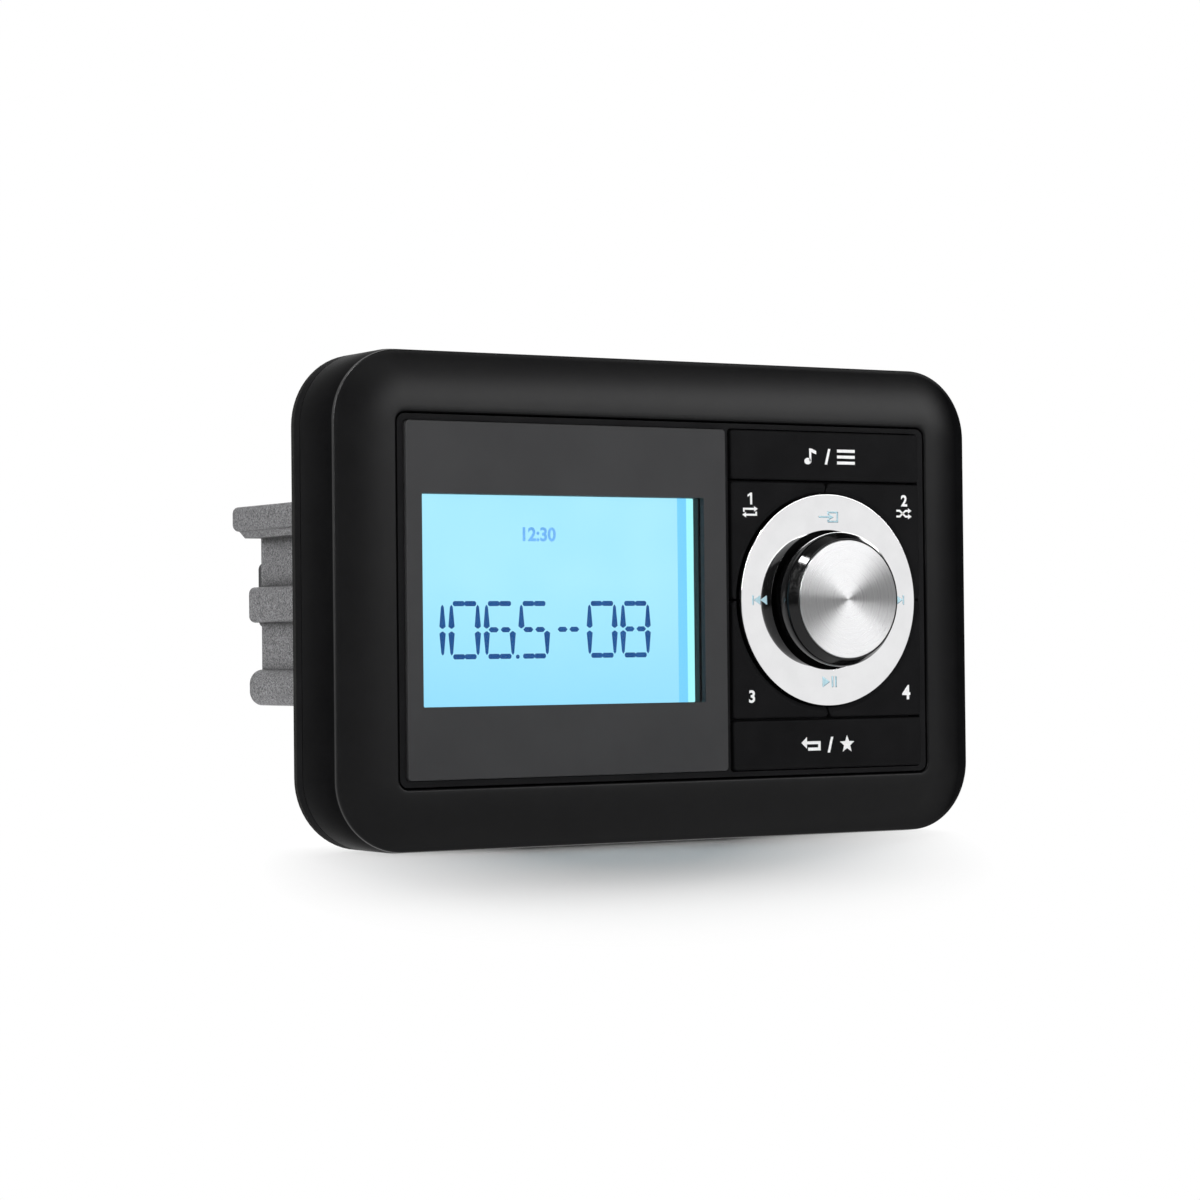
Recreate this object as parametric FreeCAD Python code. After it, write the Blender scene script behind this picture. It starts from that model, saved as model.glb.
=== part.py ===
# Panel-mounted marine stereo with every piece at its real size, in millimetres.
# +X is to the right and +Z is up, seen from the front, which faces -Y. The panel that carries
# the stereo is the plane y = 0, and the origin is the centre of its four panel screws.
import FreeCAD, Part
import math
import os

V = FreeCAD.Vector
X_DIR = V(1, 0, 0)
Y_DIR = V(0, 1, 0)
Z_DIR = V(0, 0, 1)

# Flange and gasket, against the panel
GASKET_T = 1.5
CUTOUT_GAP = 1.3
GASKET_SCREW_GAP = 7.5
FLANGE_T = 2.4
PANEL_SCREW_INSET = 9.0
PANEL_HOLE_R = 2.2
FLANGE_HOLE_SCREW_GAP = 4.9
FLANGE_HOLE_LEDGE = 1.2

# Clip-on front trim, a crowned frame with a window
TRIM_W = 150.0
TRIM_H = 97.0
TRIM_BORDER = 12.4
WINDOW_CORNER_R = 2.0
TRIM_WALL = 2.0
TRIM_SIDE_DEPTH = 14.0
TRIM_CROWN = 2.5
TRIM_LIP_DEPTH = 3.0
TRIM_LIP_TAPER = 0.25
TRIM_EDGE_R = 0.4
TRIM_WINDOW_EDGE_R = 0.5
TRIM_RIM_WALL = 1.4
TRIM_RIM_DEPTH = 5.0
SNAP_LENGTH = 10.0
SNAP_POST_T = 1.3
SNAP_POST_H = 4.1
SNAP_LIP = 0.8
SNAP_LIP_H = 1.3
SNAP_BARB = 1.0
SNAP_BARB_H = 1.0
SNAP_GAP = 0.3
SNAP_SCREW_DISTANCE = 26.0

# Face frame, which is the front of the housing
HOUSING_GAP = 0.3
FACE_DROP = 0.4
HOUSING_WALL = 1.6
FACE_T = 2.1
LUG_W = 8.0
LUG_REACH = 6.0
LUG_T = 2.5
LUG_SCREW_DISTANCE = 14.0
LUG_HOLE_OFFSET = 3.2

# Display fascia, window and the display behind it
FASCIA_BORDER_X = 1.4
FASCIA_BORDER_Z = 1.3
FASCIA_T = 1.4
FASCIA_RISE = 1.0
FASCIA_CORNER_R = 0.8
FASCIA_EDGE_R = 0.25
FASCIA_GAP = 0.15
DIVIDER_T = 0.95
VIEW_BORDER_LEFT = 3.35
VIEW_BORDER_RIGHT = 5.35
VIEW_BORDER_Z = 13.95
VIEW_CORNER_R = 0.4
PANE_GAP = 0.05
PANE_FLANGE_GAP = 0.2
PANE_FLANGE_T = 0.8
TAPE_T = 0.3
TAPE_INSET = 0.3
DISPLAY_SETBACK = 3.9
GLASS_T = 2.8
HOLDER_GAP = 0.1
HOLDER_WALL = 0.9
HOLDER_SIDE_GAP = 0.15
CONTACT_INSET = 2.15
CONTACT_T = 2.0
LIGHT_GUIDE_INSET_X = 2.15
LIGHT_GUIDE_INSET_Z = 2.05
LIGHT_GUIDE_GAP = 0.1
LED_SIZE = 1.8
LED_H = 2.4
LED_GAP = 0.4
LED_PITCH = 9.0
LED_COUNT = 4

# Key area: ring in the middle, four corner keys round it, a bar key above and below
WELL_BORDER_X = 1.5
WELL_BORDER_Z = 1.0
KEY_SIDE_RIM = 1.4
KEY_TOP_RIM = 2.15
KEY_GAP = 0.45
WELL_GAP = 0.25
KEY_RISE = 1.0
KEY_DEPTH = 4.0
KEY_TOP = 1.4
KEY_WALL = 1.2
KEY_CORNER_R = 0.8
KEY_EDGE_R = 0.4
KEY_BEVEL_W = 1.25
KEY_BEVEL_H = 0.8
KEY_TRAVEL = 0.6
KEY_FLOOR_CLEARANCE = 0.3
FLOOR_T = 1.3
STEM_R = 1.5
STEM_GAP = 0.4
CORNER_STEM_INSET_X = 4.35
CORNER_STEM_INSET_Z = 4.375
LEG_W = 3.0
LEG_T = 1.0
LEG_SETBACK = 0.2
LEG_SLOT_GAP = 0.3
LEG_BARB = 0.8
LEG_BARB_H = 1.1
LEG_REST_GAP = 0.1
LEG_SIDE_INSET = 9.575
LEG_TOP_INSET = 11.55
SWITCH_SIZE = 6.0
SWITCH_H = 3.5
BUTTON_R = 1.7
BUTTON_PROUD = 0.8
BUTTON_DEPTH = 0.6
BUTTON_GAP = 0.1
BUTTON_ROOM = 0.2

# Silver ring, its base and the gimbal that lets it rock
RING_RISE = 0.4
RING_OUTER_R = 21.75
RING_KNOB_GAP = 0.5
RING_T = 1.0
RING_EDGE_R = 0.25
RING_KEY_GAP = 0.4
RING_BASE_T = 1.2
RING_BASE_INSET = 0.4
GIMBAL_DROP = 1.6
GIMBAL_INSET = 6.45
GIMBAL_W = 1.7
GIMBAL_T = 1.4
PIN_R = 0.5
PIN_GAP = 0.05
PIN_SEAT_GAP = 0.3
PIN_SEAT_T = 1.3
PIN_SEAT_W = 3.2
PIN_SEAT_TOP = 0.75
EAR_TAIL = 0.35
POST_R = 1.0
POST_INSET = 1.85
POST_GAP = 0.5
POST_PRESS_GAP = 0.5

# Rotary encoder and knob
ENCODER_W = 12.4
ENCODER_H = 13.2
BUSHING_WALL = 0.45
BUSHING_PROUD = 3.0
BUSHING_HOLE_GAP = 0.1
SHAFT_R = 3.0
SHAFT_GAP = 0.05
WASHER_W = 2.1
WASHER_T = 0.5
NUT_WALL = 1.5
NUT_T = 1.8
SIDES_OF_NUT = 6
PLUNGER_INSET = 0.4
PLUNGER_T = 1.1
PLUNGER_GAP = 0.05
SHAFT_TAIL = 1.4
ENCODER_ROOM_GAP = 0.4
ENCODER_ROOM_ROOF = 0.7
ENCODER_ROOM_FLOOR = 1.1
KNOB_RISE = 6.9
KNOB_WIDE_R = 13.8
KNOB_WIDE_H = 4.0
KNOB_BASE_TAPER = 0.9
KNOB_BOW = 0.18
KNOB_SHOULDER_TAPER = 0.3
KNOB_SHOULDER_H = 5.1
KNOB_SHOULDER_BOW = 0.075
KNOB_RIM_TAPER = 1.35
KNOB_RIM_DROP = 0.2
KNOB_RIM_W = 0.35
KNOB_SINK = 0.5
KNOB_WALL = 2.0
KNOB_TOP = 1.2
KNOB_HUB_WALL = 1.8
KNOB_HUB_GAP = 0.9
CAP_T = 0.8
CAP_GAP = 0.05
CAP_EDGE_R = 0.15

# Front circuit board
BOARD_T = 1.6
BOARD_GAP = 0.4
BOARD_STANDOFF = 4.8
BOSS_R = 2.2
BOSS_INSET_X = 4.9
BOSS_INSET_Z = 4.8
BOSS_MID_INSET = 15.1
BOSS_RIGHT_OFFSET = 14.0

# Screws: small ones hold the boards, larger ones hold the case together
SMALL_SCREW_R = 1.0
SMALL_HEAD_R = 1.9
SMALL_HEAD_H = 1.2
SMALL_SCREW_L = 5.5
CASE_SCREW_R = 1.25
CASE_HEAD_R = 2.2
CASE_HEAD_H = 1.5
CASE_SCREW_L = 8.6
LUG_SCREW_L = 4.4
SCREW_HOLE_GAP = 0.1
SCREW_EDGE_SHARE = 0.4        # the next four are shares of the head's height or radius
SCREW_RECESS_DEPTH_SHARE = 0.4
SCREW_RECESS_REACH_SHARE = 0.5
SCREW_RECESS_W_SHARE = 0.24

# Heat sink casting
SINK_DEPTH = 50.0
SINK_BORDER = 17.3
SINK_WALL = 3.5
SINK_FIN_RISE = 3.0
SINK_RIB_PROUD = 2.9
SINK_FIN_PROUD = 6.5
SINK_FIN_DROP = 2.1
SINK_FIN_R = 1.4
SINK_LIP_PROUD = 3.7
SINK_LIP_DROP = 3.5
SINK_LIP_SLOPE = 1.6
SINK_LIP_BITE = 0.35
SINK_MID_TOP = 4.0
SINK_MID_BOTTOM = -3.4
SINK_MID_R = 1.4
SINK_LOW_DROP = 4.5
SINK_LOW_R = 3.0
SINK_RIB_ROOT = 4.0
SINK_RIB_W = 7.0
SINK_RIB_PITCH = 17.0
SINK_RIBS = 5
POST_BLOCK_W = 6.6
POST_BLOCK_H = 6.4
POST_BLOCK_L = 9.0
CASE_SCREW_INSET_X = 3.3
CASE_SCREW_INSET_Z = 2.3
CASE_HOLE_L = 8.6
SEAL_T = 1.0
REAR_PLATE_T = 1.2
REAR_PLATE_INSET = 1.1
REAR_PLATE_R = 2.0

# Main board and what stands on it
MAIN_BOARD_LIFT = 0.2
MAIN_BOARD_SIDE_GAP = 3.2
MAIN_BOARD_FRONT_Y = 3.0
MAIN_BOARD_REAR_GAP = 2.5
MAIN_BOSS_INSET_X = 8.0
MAIN_BOSS_INSET_Y = 6.0
MAIN_BOSS_R = 3.0
CHIP_T = 4.5
CHIP_L = 29.2
CHIP_H = 15.8
CHIP_LIFT = 4.2
CHIP_ROOF_GAP = 0.2
CHIP_PAD_T = 0.3
CHIP_LEADS = 13
CHIP_LEAD_STEP = 2.0
CHIP_LEAD_W = 0.8
CHIP_SEAT_MARGIN = 2.1
CLAMP_T = 1.3
CLAMP_H = 6.0
CLAMP_LIFT = 10.0
CLAMP_SCREW_GAP = 1.8
CLAMP_SOCKET_GAP = 1.1
CAPACITOR_R = 5.0
CAPACITOR_H = 16.0
CAPACITOR_EDGE_R = 0.6
CAPACITOR_INSET = 11.0
CAPACITOR_CHOKE_GAP = 2.2
CAPACITOR_PITCH = 11.5
CAPACITORS = 3
CHOKE_R = 6.0
CHOKE_WIRE_R = 2.8
CHOKE_SCREW_GAP = 0.3
CHOKE_FRONT_GAP = 1.2
TUNER_GAP = 4.0
TUNER_REAR_GAP = 11.5
TUNER_W = 22.0
TUNER_L = 18.0
TUNER_H = 7.0
WIRELESS_GAP = 4.4
WIRELESS_FRONT_GAP = 0.8
WIRELESS_W = 18.0
WIRELESS_L = 14.0
WIRELESS_BOARD_T = 1.0
WIRELESS_CAN_INSET = 2.0
WIRELESS_CAN_H = 2.2
CABLE_GAP = 1.7
CABLE_W = 20.0
CABLE_T = 0.3
CABLE_BEND_R = 4.0
CABLE_SOCKET_W = 24.0
CABLE_SOCKET_L = 5.0
CABLE_SOCKET_H = 2.2
CABLE_SOCKET_LIFT = 11.0

# Rear sockets
HARNESS_W = 26.4
HARNESS_H = 13.8
HARNESS_INSET = 2.0
HARNESS_LIFT = 8.5
HARNESS_PROUD = 6.8
HARNESS_WALL = 1.2
HARNESS_FLOOR = 1.0
HARNESS_R = 1.5
HARNESS_NECK_W = 16.0
HARNESS_NECK_H = 8.0
HARNESS_NECK_L = 11.0
PINS_IN_ROW = 8
HARNESS_PIN_STEP = 2.6
HARNESS_PIN_INSET = 1.5
HARNESS_PIN_W = 1.0
HARNESS_PIN_L = 4.8
AERIAL_GAP = 2.1
AERIAL_LIFT = 8.0
AERIAL_R = 6.0
AERIAL_BORE_R = 4.75
AERIAL_BORE_L = 12.0
AERIAL_PROUD = 9.0
AERIAL_FLOOR = 1.2
LINE_GAP = 3.3
LINE_LIFT = 8.0
LINE_PITCH = 13.0
LINE_EDGE_GAP = 5.0
LINE_R = 4.15
LINE_L = 8.0
LINE_HOLE_R = 1.6
LINE_BLOCK_MARGIN = 6.2
LINE_BLOCK_H = 11.0
LINE_BLOCK_L = 6.5
LINE_BLOCK_PROUD = 1.2
FUSE_GAP = 2.6
FUSE_LIFT = 9.0
FUSE_W = 3.8
FUSE_H = 10.9
FUSE_PROUD = 7.0
FUSE_BLADE_W = 2.8
FUSE_BLADE_T = 0.8
FUSE_BLADE_L = 5.0
FUSE_BLADE_PITCH = 7.6
FUSE_HOLDER_WALL = 1.1
FUSE_HOLDER_PROUD = 3.0
FUSE_HOLDER_L = 8.0
SOCKET_HOLE_GAP = 0.2

OVER = 1.0      # how far a cutting shape runs past what it cuts
BITE = 0.5      # how far a joined shape runs into the one it stands on

# Places along the depth, from the panel forward
flange_rear_y = -GASKET_T
flange_front_y = flange_rear_y - FLANGE_T
trim_edge_y = flange_front_y - TRIM_SIDE_DEPTH
trim_crown_y = trim_edge_y - TRIM_CROWN
face_y = trim_crown_y + FACE_DROP
fascia_front_y = face_y - FASCIA_RISE
fascia_back_y = fascia_front_y + FASCIA_T
pocket_y = fascia_back_y + TAPE_T
face_back_y = face_y + FACE_T
pane_back_y = fascia_back_y + PANE_FLANGE_T
display_y = fascia_front_y + DISPLAY_SETBACK
display_back_y = display_y + GLASS_T
key_front_y = face_y - KEY_RISE
key_back_y = key_front_y + KEY_DEPTH
floor_front_y = key_back_y + KEY_TRAVEL + KEY_FLOOR_CLEARANCE
floor_back_y = floor_front_y + FLOOR_T
board_front_y = floor_back_y + BOARD_STANDOFF
board_back_y = board_front_y + BOARD_T
switch_front_y = board_front_y - SWITCH_H
button_front_y = switch_front_y - BUTTON_PROUD
ring_front_y = key_front_y - RING_RISE
ring_back_y = ring_front_y + RING_T
ring_base_back_y = ring_back_y + RING_BASE_T
pivot_y = ring_base_back_y + GIMBAL_DROP
knob_face_y = ring_front_y - KNOB_RISE
knob_base_y = ring_front_y + KNOB_SINK
bushing_front_y = floor_front_y - BUSHING_PROUD

# Places along the depth, behind the panel
seal_back_y = flange_rear_y + SEAL_T
sink_front_y = seal_back_y
sink_rear_y = SINK_DEPTH
rear_plate_y = sink_rear_y + REAR_PLATE_T

# Trim, face frame and the screws beside it
trim_corner_r = TRIM_BORDER + WINDOW_CORNER_R
window_half_w = TRIM_W / 2 - TRIM_BORDER
window_half_h = TRIM_H / 2 - TRIM_BORDER
housing_half_w = window_half_w - HOUSING_GAP
housing_half_h = window_half_h - HOUSING_GAP
housing_corner_r = WINDOW_CORNER_R - HOUSING_GAP
panel_screw_x = TRIM_W / 2 - PANEL_SCREW_INSET
panel_screw_z = TRIM_H / 2 - PANEL_SCREW_INSET
snap_x = panel_screw_x - SNAP_SCREW_DISTANCE
snap_post_r = trim_corner_r - TRIM_WALL - SNAP_BARB - SNAP_GAP
lug_x = panel_screw_x - LUG_SCREW_DISTANCE

# Key area, as wide as the ring and its rims and as high as the face frame lets it be
ring_hole_r = RING_OUTER_R + RING_KEY_GAP
keys_w = 2 * (ring_hole_r + KEY_SIDE_RIM)
keys_h = 2 * (housing_half_h - WELL_BORDER_Z - WELL_GAP)
bar_split_z = ring_hole_r + KEY_TOP_RIM
corner_key_top_z = bar_split_z - KEY_GAP / 2
well_half_w = keys_w / 2 + WELL_GAP
well_half_h = keys_h / 2 + WELL_GAP
keys_x = housing_half_w - WELL_BORDER_X - well_half_w
well_left_x = keys_x - well_half_w
post_circle_r = RING_OUTER_R - POST_INSET
gimbal_inner_r = RING_OUTER_R - GIMBAL_INSET
bar_stem_z = (post_circle_r + SWITCH_SIZE / 2 + housing_half_h - HOUSING_WALL) / 2

# Knob and encoder, from the widest turn of the knob and from the shaft
knob_base_r = KNOB_WIDE_R - KNOB_BASE_TAPER
knob_shoulder_r = KNOB_WIDE_R - KNOB_SHOULDER_TAPER
knob_rim_r = KNOB_WIDE_R - KNOB_RIM_TAPER
ring_inner_r = KNOB_WIDE_R + RING_KNOB_GAP
bushing_r = SHAFT_R + SHAFT_GAP + BUSHING_WALL

# Display, in the room that is left beside the key area
fascia_left_x = FASCIA_BORDER_X - housing_half_w
fascia_right_x = well_left_x - DIVIDER_T - FASCIA_GAP
fascia_x = (fascia_left_x + fascia_right_x) / 2
fascia_w = fascia_right_x - fascia_left_x
fascia_h = 2 * (housing_half_h - FASCIA_BORDER_Z)
view_w = fascia_w - VIEW_BORDER_LEFT - VIEW_BORDER_RIGHT
view_h = fascia_h - 2 * VIEW_BORDER_Z
view_x = fascia_left_x + VIEW_BORDER_LEFT + view_w / 2
glass_margin = VIEW_BORDER_LEFT + FASCIA_BORDER_X - HOUSING_WALL - HOLDER_WALL - HOLDER_SIDE_GAP
glass_half_w = view_w / 2 + glass_margin
glass_half_h = view_h / 2 + glass_margin
pane_half_w = glass_half_w - PANE_FLANGE_GAP
pane_half_h = glass_half_h - PANE_FLANGE_GAP
guide_half_w = view_w / 2 - LIGHT_GUIDE_INSET_X
guide_half_h = view_h / 2 - LIGHT_GUIDE_INSET_Z

# Casting: as wide as the flange lets it be, and as high as the board and chip inside
sink_half_w = TRIM_W / 2 - SINK_BORDER
cavity_half_w = sink_half_w - SINK_WALL
board_stack_h = POST_BLOCK_H + MAIN_BOARD_LIFT + BOARD_T
cavity_half_h = (board_stack_h + CHIP_LIFT + CHIP_H + CHIP_ROOF_GAP) / 2
sink_half_h = cavity_half_h + SINK_WALL
sink_fin_x = sink_half_w + SINK_FIN_PROUD
sink_fin_top_z = sink_half_h + SINK_FIN_RISE
case_screw_x = cavity_half_w - CASE_SCREW_INSET_X
case_screw_z = cavity_half_h - CASE_SCREW_INSET_Z
flange_hole_half_w = case_screw_x - FLANGE_HOLE_SCREW_GAP
flange_hole_half_h = cavity_half_h - FLANGE_HOLE_LEDGE
gasket_hole_half_w = sink_fin_x + CUTOUT_GAP
gasket_hole_half_h = panel_screw_z - GASKET_SCREW_GAP

# Main board and the places of its parts, each worked out from its neighbour
board_top_z = board_stack_h - cavity_half_h
board_under_z = board_top_z - BOARD_T
main_board_half_w = cavity_half_w - MAIN_BOARD_SIDE_GAP
main_board_rear_y = sink_rear_y - MAIN_BOARD_REAR_GAP
main_boss_x = main_board_half_w - MAIN_BOSS_INSET_X
chip_seat_x = cavity_half_w - POST_BLOCK_W
chip_x = chip_seat_x - CHIP_PAD_T - CHIP_T
clamp_x = chip_x - CLAMP_T
chip_low_z = board_top_z + CHIP_LIFT
clamp_z = board_top_z + CLAMP_LIFT
clamp_screw_run = CHIP_L / 2 + CLAMP_SCREW_GAP
clamp_half_l = clamp_screw_run + CASE_HEAD_R
chip_y = rear_plate_y - LINE_BLOCK_L - CLAMP_SOCKET_GAP - clamp_half_l
capacitor_x = CAPACITOR_INSET - main_board_half_w
choke_outer_r = CHOKE_R + CHOKE_WIRE_R
choke_x = -main_boss_x + SMALL_HEAD_R + CHOKE_SCREW_GAP + choke_outer_r
choke_y = MAIN_BOARD_FRONT_Y + CHOKE_FRONT_GAP + choke_outer_r
capacitor_y = choke_y + choke_outer_r + CAPACITOR_CHOKE_GAP + CAPACITOR_R
capacitors_end_x = capacitor_x + (CAPACITORS - 1) * CAPACITOR_PITCH + CAPACITOR_R
tuner_x = capacitors_end_x + TUNER_GAP + TUNER_W / 2
tuner_y = main_board_rear_y - TUNER_REAR_GAP - TUNER_L / 2
wireless_x = clamp_x - CASE_HEAD_H - WIRELESS_GAP - WIRELESS_W / 2
wireless_y = MAIN_BOARD_FRONT_Y + WIRELESS_FRONT_GAP + WIRELESS_L / 2
cable_x = choke_x + choke_outer_r + CABLE_GAP + CABLE_SOCKET_W / 2
cable_top_z = board_top_z + CABLE_SOCKET_LIFT

# Rear sockets, side by side from the harness socket to the right
rear_plate_half_w = sink_half_w - REAR_PLATE_INSET
harness_x = HARNESS_INSET - rear_plate_half_w + HARNESS_W / 2
harness_z = board_top_z + HARNESS_LIFT
fuse_holder_half_w = FUSE_W / 2 + FUSE_HOLDER_WALL
fuse_x = harness_x + HARNESS_W / 2 + FUSE_GAP + fuse_holder_half_w
fuse_z = board_top_z + FUSE_LIFT
aerial_x = fuse_x + fuse_holder_half_w + AERIAL_GAP + AERIAL_R
aerial_z = board_top_z + AERIAL_LIFT
line_x = aerial_x + AERIAL_R + LINE_GAP + LINE_BLOCK_MARGIN
line_z = board_top_z + LINE_LIFT
line_room = rear_plate_half_w - LINE_EDGE_GAP - LINE_BLOCK_MARGIN - line_x
line_sockets_in_row = 1 + int(line_room / LINE_PITCH)


def block(x0, x1, y0, y1, z0, z1):
    """Box between two corners."""
    return Part.makeBox(x1 - x0, y1 - y0, z1 - z0, V(x0, y0, z0))


def rod(radius, start, direction, length):
    """Round bar from a start point along a direction."""
    return Part.makeCylinder(radius, length, start, direction)


def tube(outer_r, inner_r, start, direction, length):
    """Round bar with a hole right through."""
    return rod(outer_r, start, direction, length).cut(rod(inner_r, start, direction, length))


def plate(x, z, half_w, half_h, y0, y1, corner_r):
    """Rectangle with round corners in the XZ plane, from y0 back to y1."""
    cx = half_w - corner_r
    cz = half_h - corner_r
    d = corner_r * math.sqrt(0.5)
    edges = []
    for sx, sz, across in ((1, 1, True), (-1, 1, False), (-1, -1, True), (1, -1, False)):
        side = V(x + sx * half_w, y0, z + sz * cz)
        middle = V(x + sx * (cx + d), y0, z + sz * (cz + d))
        end = V(x + sx * cx, y0, z + sz * half_h)
        first, last = (side, end) if across else (end, side)
        edges.append((first, middle, last))
    wires = []
    for i, (first, middle, last) in enumerate(edges):
        wires.append(Part.Arc(first, middle, last).toShape())
        following = edges[(i + 1) % 4][0]
        if (following - last).Length > 1e-6:
            wires.append(Part.LineSegment(last, following).toShape())
    return Part.Face(Part.Wire(wires)).extrude(V(0, y1 - y0, 0))


def quarter_arc(centre_r, centre_y, radius, r_sign, y_sign):
    """Middle point of a quarter circle in the section plane."""
    d = radius * math.sqrt(0.5)
    return V(centre_r + r_sign * d, centre_y + y_sign * d, 0)


def outline(points):
    """Face from points; a tuple (middle, end) in the list makes an arc to its end."""
    edges = []
    last = points[0]
    for item in points[1:] + [points[0]]:
        if isinstance(item, tuple):
            edges.append(Part.Arc(last, item[0], item[1]).toShape())
            last = item[1]
        else:
            edges.append(Part.LineSegment(last, item).toShape())
            last = item
    return Part.Face(Part.Wire(edges))


def turned(points, x, z):
    """Solid turned about the line along Y through (x, z), from radius and y pairs."""
    solid = outline(points).revolve(V(0, 0, 0), Y_DIR, 360)
    solid.translate(V(x, 0, z))
    return solid


def join(solids):
    """One clean solid from several that meet."""
    first, rest = solids[0], solids[1:]
    return first.multiFuse(rest).removeSplitter() if rest else first


def drill(shape, tools):
    """Takes all the tools away from the shape."""
    return shape.cut(Part.makeCompound(tools))


def edges_at(shape, y):
    """The edges that lie wholly in one plane of constant y."""
    box = [(e, e.BoundBox) for e in shape.Edges]
    return [e for e, b in box if abs(b.YMin - y) < 1e-6 and abs(b.YMax - y) < 1e-6]


def four(x, z):
    """The four places that mirror (x, z) about both middle lines."""
    return [(sx * x, sz * z) for sx in (-1, 1) for sz in (-1, 1)]


def screw(head_r, head_h, shank_r, length, seat, direction):
    """Pan-head screw whose head lies on the seat point; the shank runs along the direction."""
    head = rod(head_r, seat - direction * head_h, direction, head_h)
    head = head.makeFillet(head_h * SCREW_EDGE_SHARE, [e for e in head.Edges
                                          if (e.CenterOfMass - seat).dot(direction) < -head_h / 2
                                          and e.Curve.TypeId == "Part::GeomCircle"])
    slot_w = head_r * SCREW_RECESS_W_SHARE
    depth = OVER + head_h * SCREW_RECESS_DEPTH_SHARE
    slot = rod(head_r * SCREW_RECESS_REACH_SHARE, seat - direction * (head_h + OVER), direction,
               depth)
    across = direction.cross(Z_DIR)
    if across.Length < 0.5:
        across = direction.cross(X_DIR)
    other = direction.cross(across)
    bars = []
    for a, b in ((across, other), (other, across)):
        corner = seat - direction * (head_h + OVER) - a * head_r - b * slot_w
        ends = [corner, corner + a * head_r * 2, corner + a * head_r * 2 + b * slot_w * 2,
                corner + b * slot_w * 2, corner]
        bars.append(Part.Face(Part.makePolygon(ends)).extrude(direction * depth))
    cross = bars[0].fuse(bars[1]).common(slot)
    return head.cut(cross).fuse(rod(shank_r, seat, direction, length)).removeSplitter()


def save(name, *solids):
    """Writes one node, as one solid or as a group of separate solids."""
    shape = solids[0] if len(solids) == 1 else Part.makeCompound(list(solids))
    bad = [s for s in shape.Solids if not s.isValid() or s.Volume <= 0]
    if bad or not shape.Solids:
        raise ValueError(name + " isn't a sound solid")
    shape.exportStep("parts/" + name + ".step")
    print("%-20s %3d solids %12.2f mm3" % (name, len(shape.Solids), shape.Volume))


# Front trim: its section is drawn once, swept round the four sides and corners


def trim_section():
    """Section of the trim, by distance from a corner's centre and by depth."""
    r_out = trim_corner_r
    r_in = trim_corner_r - TRIM_BORDER
    front_r = r_out - TRIM_LIP_TAPER
    arc_r = r_in + TRIM_WINDOW_EDGE_R
    span = front_r - TRIM_EDGE_R - arc_r
    crown_r = (span ** 2 + TRIM_CROWN ** 2) / (2 * TRIM_CROWN)

    def on_crown(radius, r):
        return V(r, trim_crown_y + crown_r - math.sqrt(radius ** 2 - (r - arc_r) ** 2), 0)

    under_r = crown_r - TRIM_WALL
    rim_r = r_in + TRIM_RIM_WALL
    wall_r = r_out - TRIM_WALL
    return outline([
        V(r_out, flange_front_y, 0),
        V(r_out, trim_edge_y + TRIM_LIP_DEPTH, 0),
        V(front_r, trim_edge_y + TRIM_EDGE_R, 0),
        (quarter_arc(front_r - TRIM_EDGE_R, trim_edge_y + TRIM_EDGE_R, TRIM_EDGE_R, 1, -1),
         V(front_r - TRIM_EDGE_R, trim_edge_y, 0)),
        (on_crown(crown_r, arc_r + span / 2), V(arc_r, trim_crown_y, 0)),
        (quarter_arc(arc_r, trim_crown_y + TRIM_WINDOW_EDGE_R, TRIM_WINDOW_EDGE_R, -1, -1),
         V(r_in, trim_crown_y + TRIM_WINDOW_EDGE_R, 0)),
        V(r_in, trim_crown_y + TRIM_RIM_DEPTH, 0),
        V(rim_r, trim_crown_y + TRIM_RIM_DEPTH, 0),
        on_crown(under_r, rim_r),
        (on_crown(under_r, (rim_r + wall_r) / 2), on_crown(under_r, wall_r)),
        V(wall_r, flange_front_y, 0),
    ])


def swept_frame(section, half_w, half_h, corner_r):
    """Frame whose section runs round a rectangle with round corners."""
    cx = half_w - corner_r
    cz = half_h - corner_r
    corner = section.revolve(V(0, 0, 0), Y_DIR, -90)
    places = (V(cx, 0, cz), V(-cx, 0, cz), V(-cx, 0, -cz), V(cx, 0, -cz))
    runs = (V(0, 0, 2 * cz), V(2 * cx, 0, 0), V(0, 0, -2 * cz), V(-2 * cx, 0, 0))
    starts = (places[3], places[1], places[1], places[3])
    pieces = []
    for i in range(4):
        turned_corner = corner.copy()
        turned_corner.rotate(V(0, 0, 0), Y_DIR, -90 * i)
        turned_corner.translate(places[i])
        side = section.copy()
        side.rotate(V(0, 0, 0), Y_DIR, -90 * i)
        side.translate(starts[i])
        pieces += [turned_corner, side.extrude(runs[i])]
    return join(pieces)


def snap_places():
    """Middle of each snap on the trim's wall line, with its outward direction."""
    half_w = TRIM_W / 2 - trim_corner_r
    half_h = TRIM_H / 2 - trim_corner_r
    ends = [(sx * half_w, 0.0, sx, 0) for sx in (-1, 1)]
    return ends + [(sx * snap_x, sz * half_h, 0, sz) for sx in (-1, 1) for sz in (-1, 1)]


def snap_block(place, near_r, far_r, y0, y1):
    """Block of a snap between two distances outward from the corner-centre line."""
    x, z, nx, nz = place
    half = SNAP_LENGTH / 2
    xs = sorted((x + nx * near_r, x + nx * far_r)) if nx else (x - half, x + half)
    zs = sorted((z + nz * near_r, z + nz * far_r)) if nz else (z - half, z + half)
    return block(xs[0], xs[1], y0, y1, zs[0], zs[1])


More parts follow.
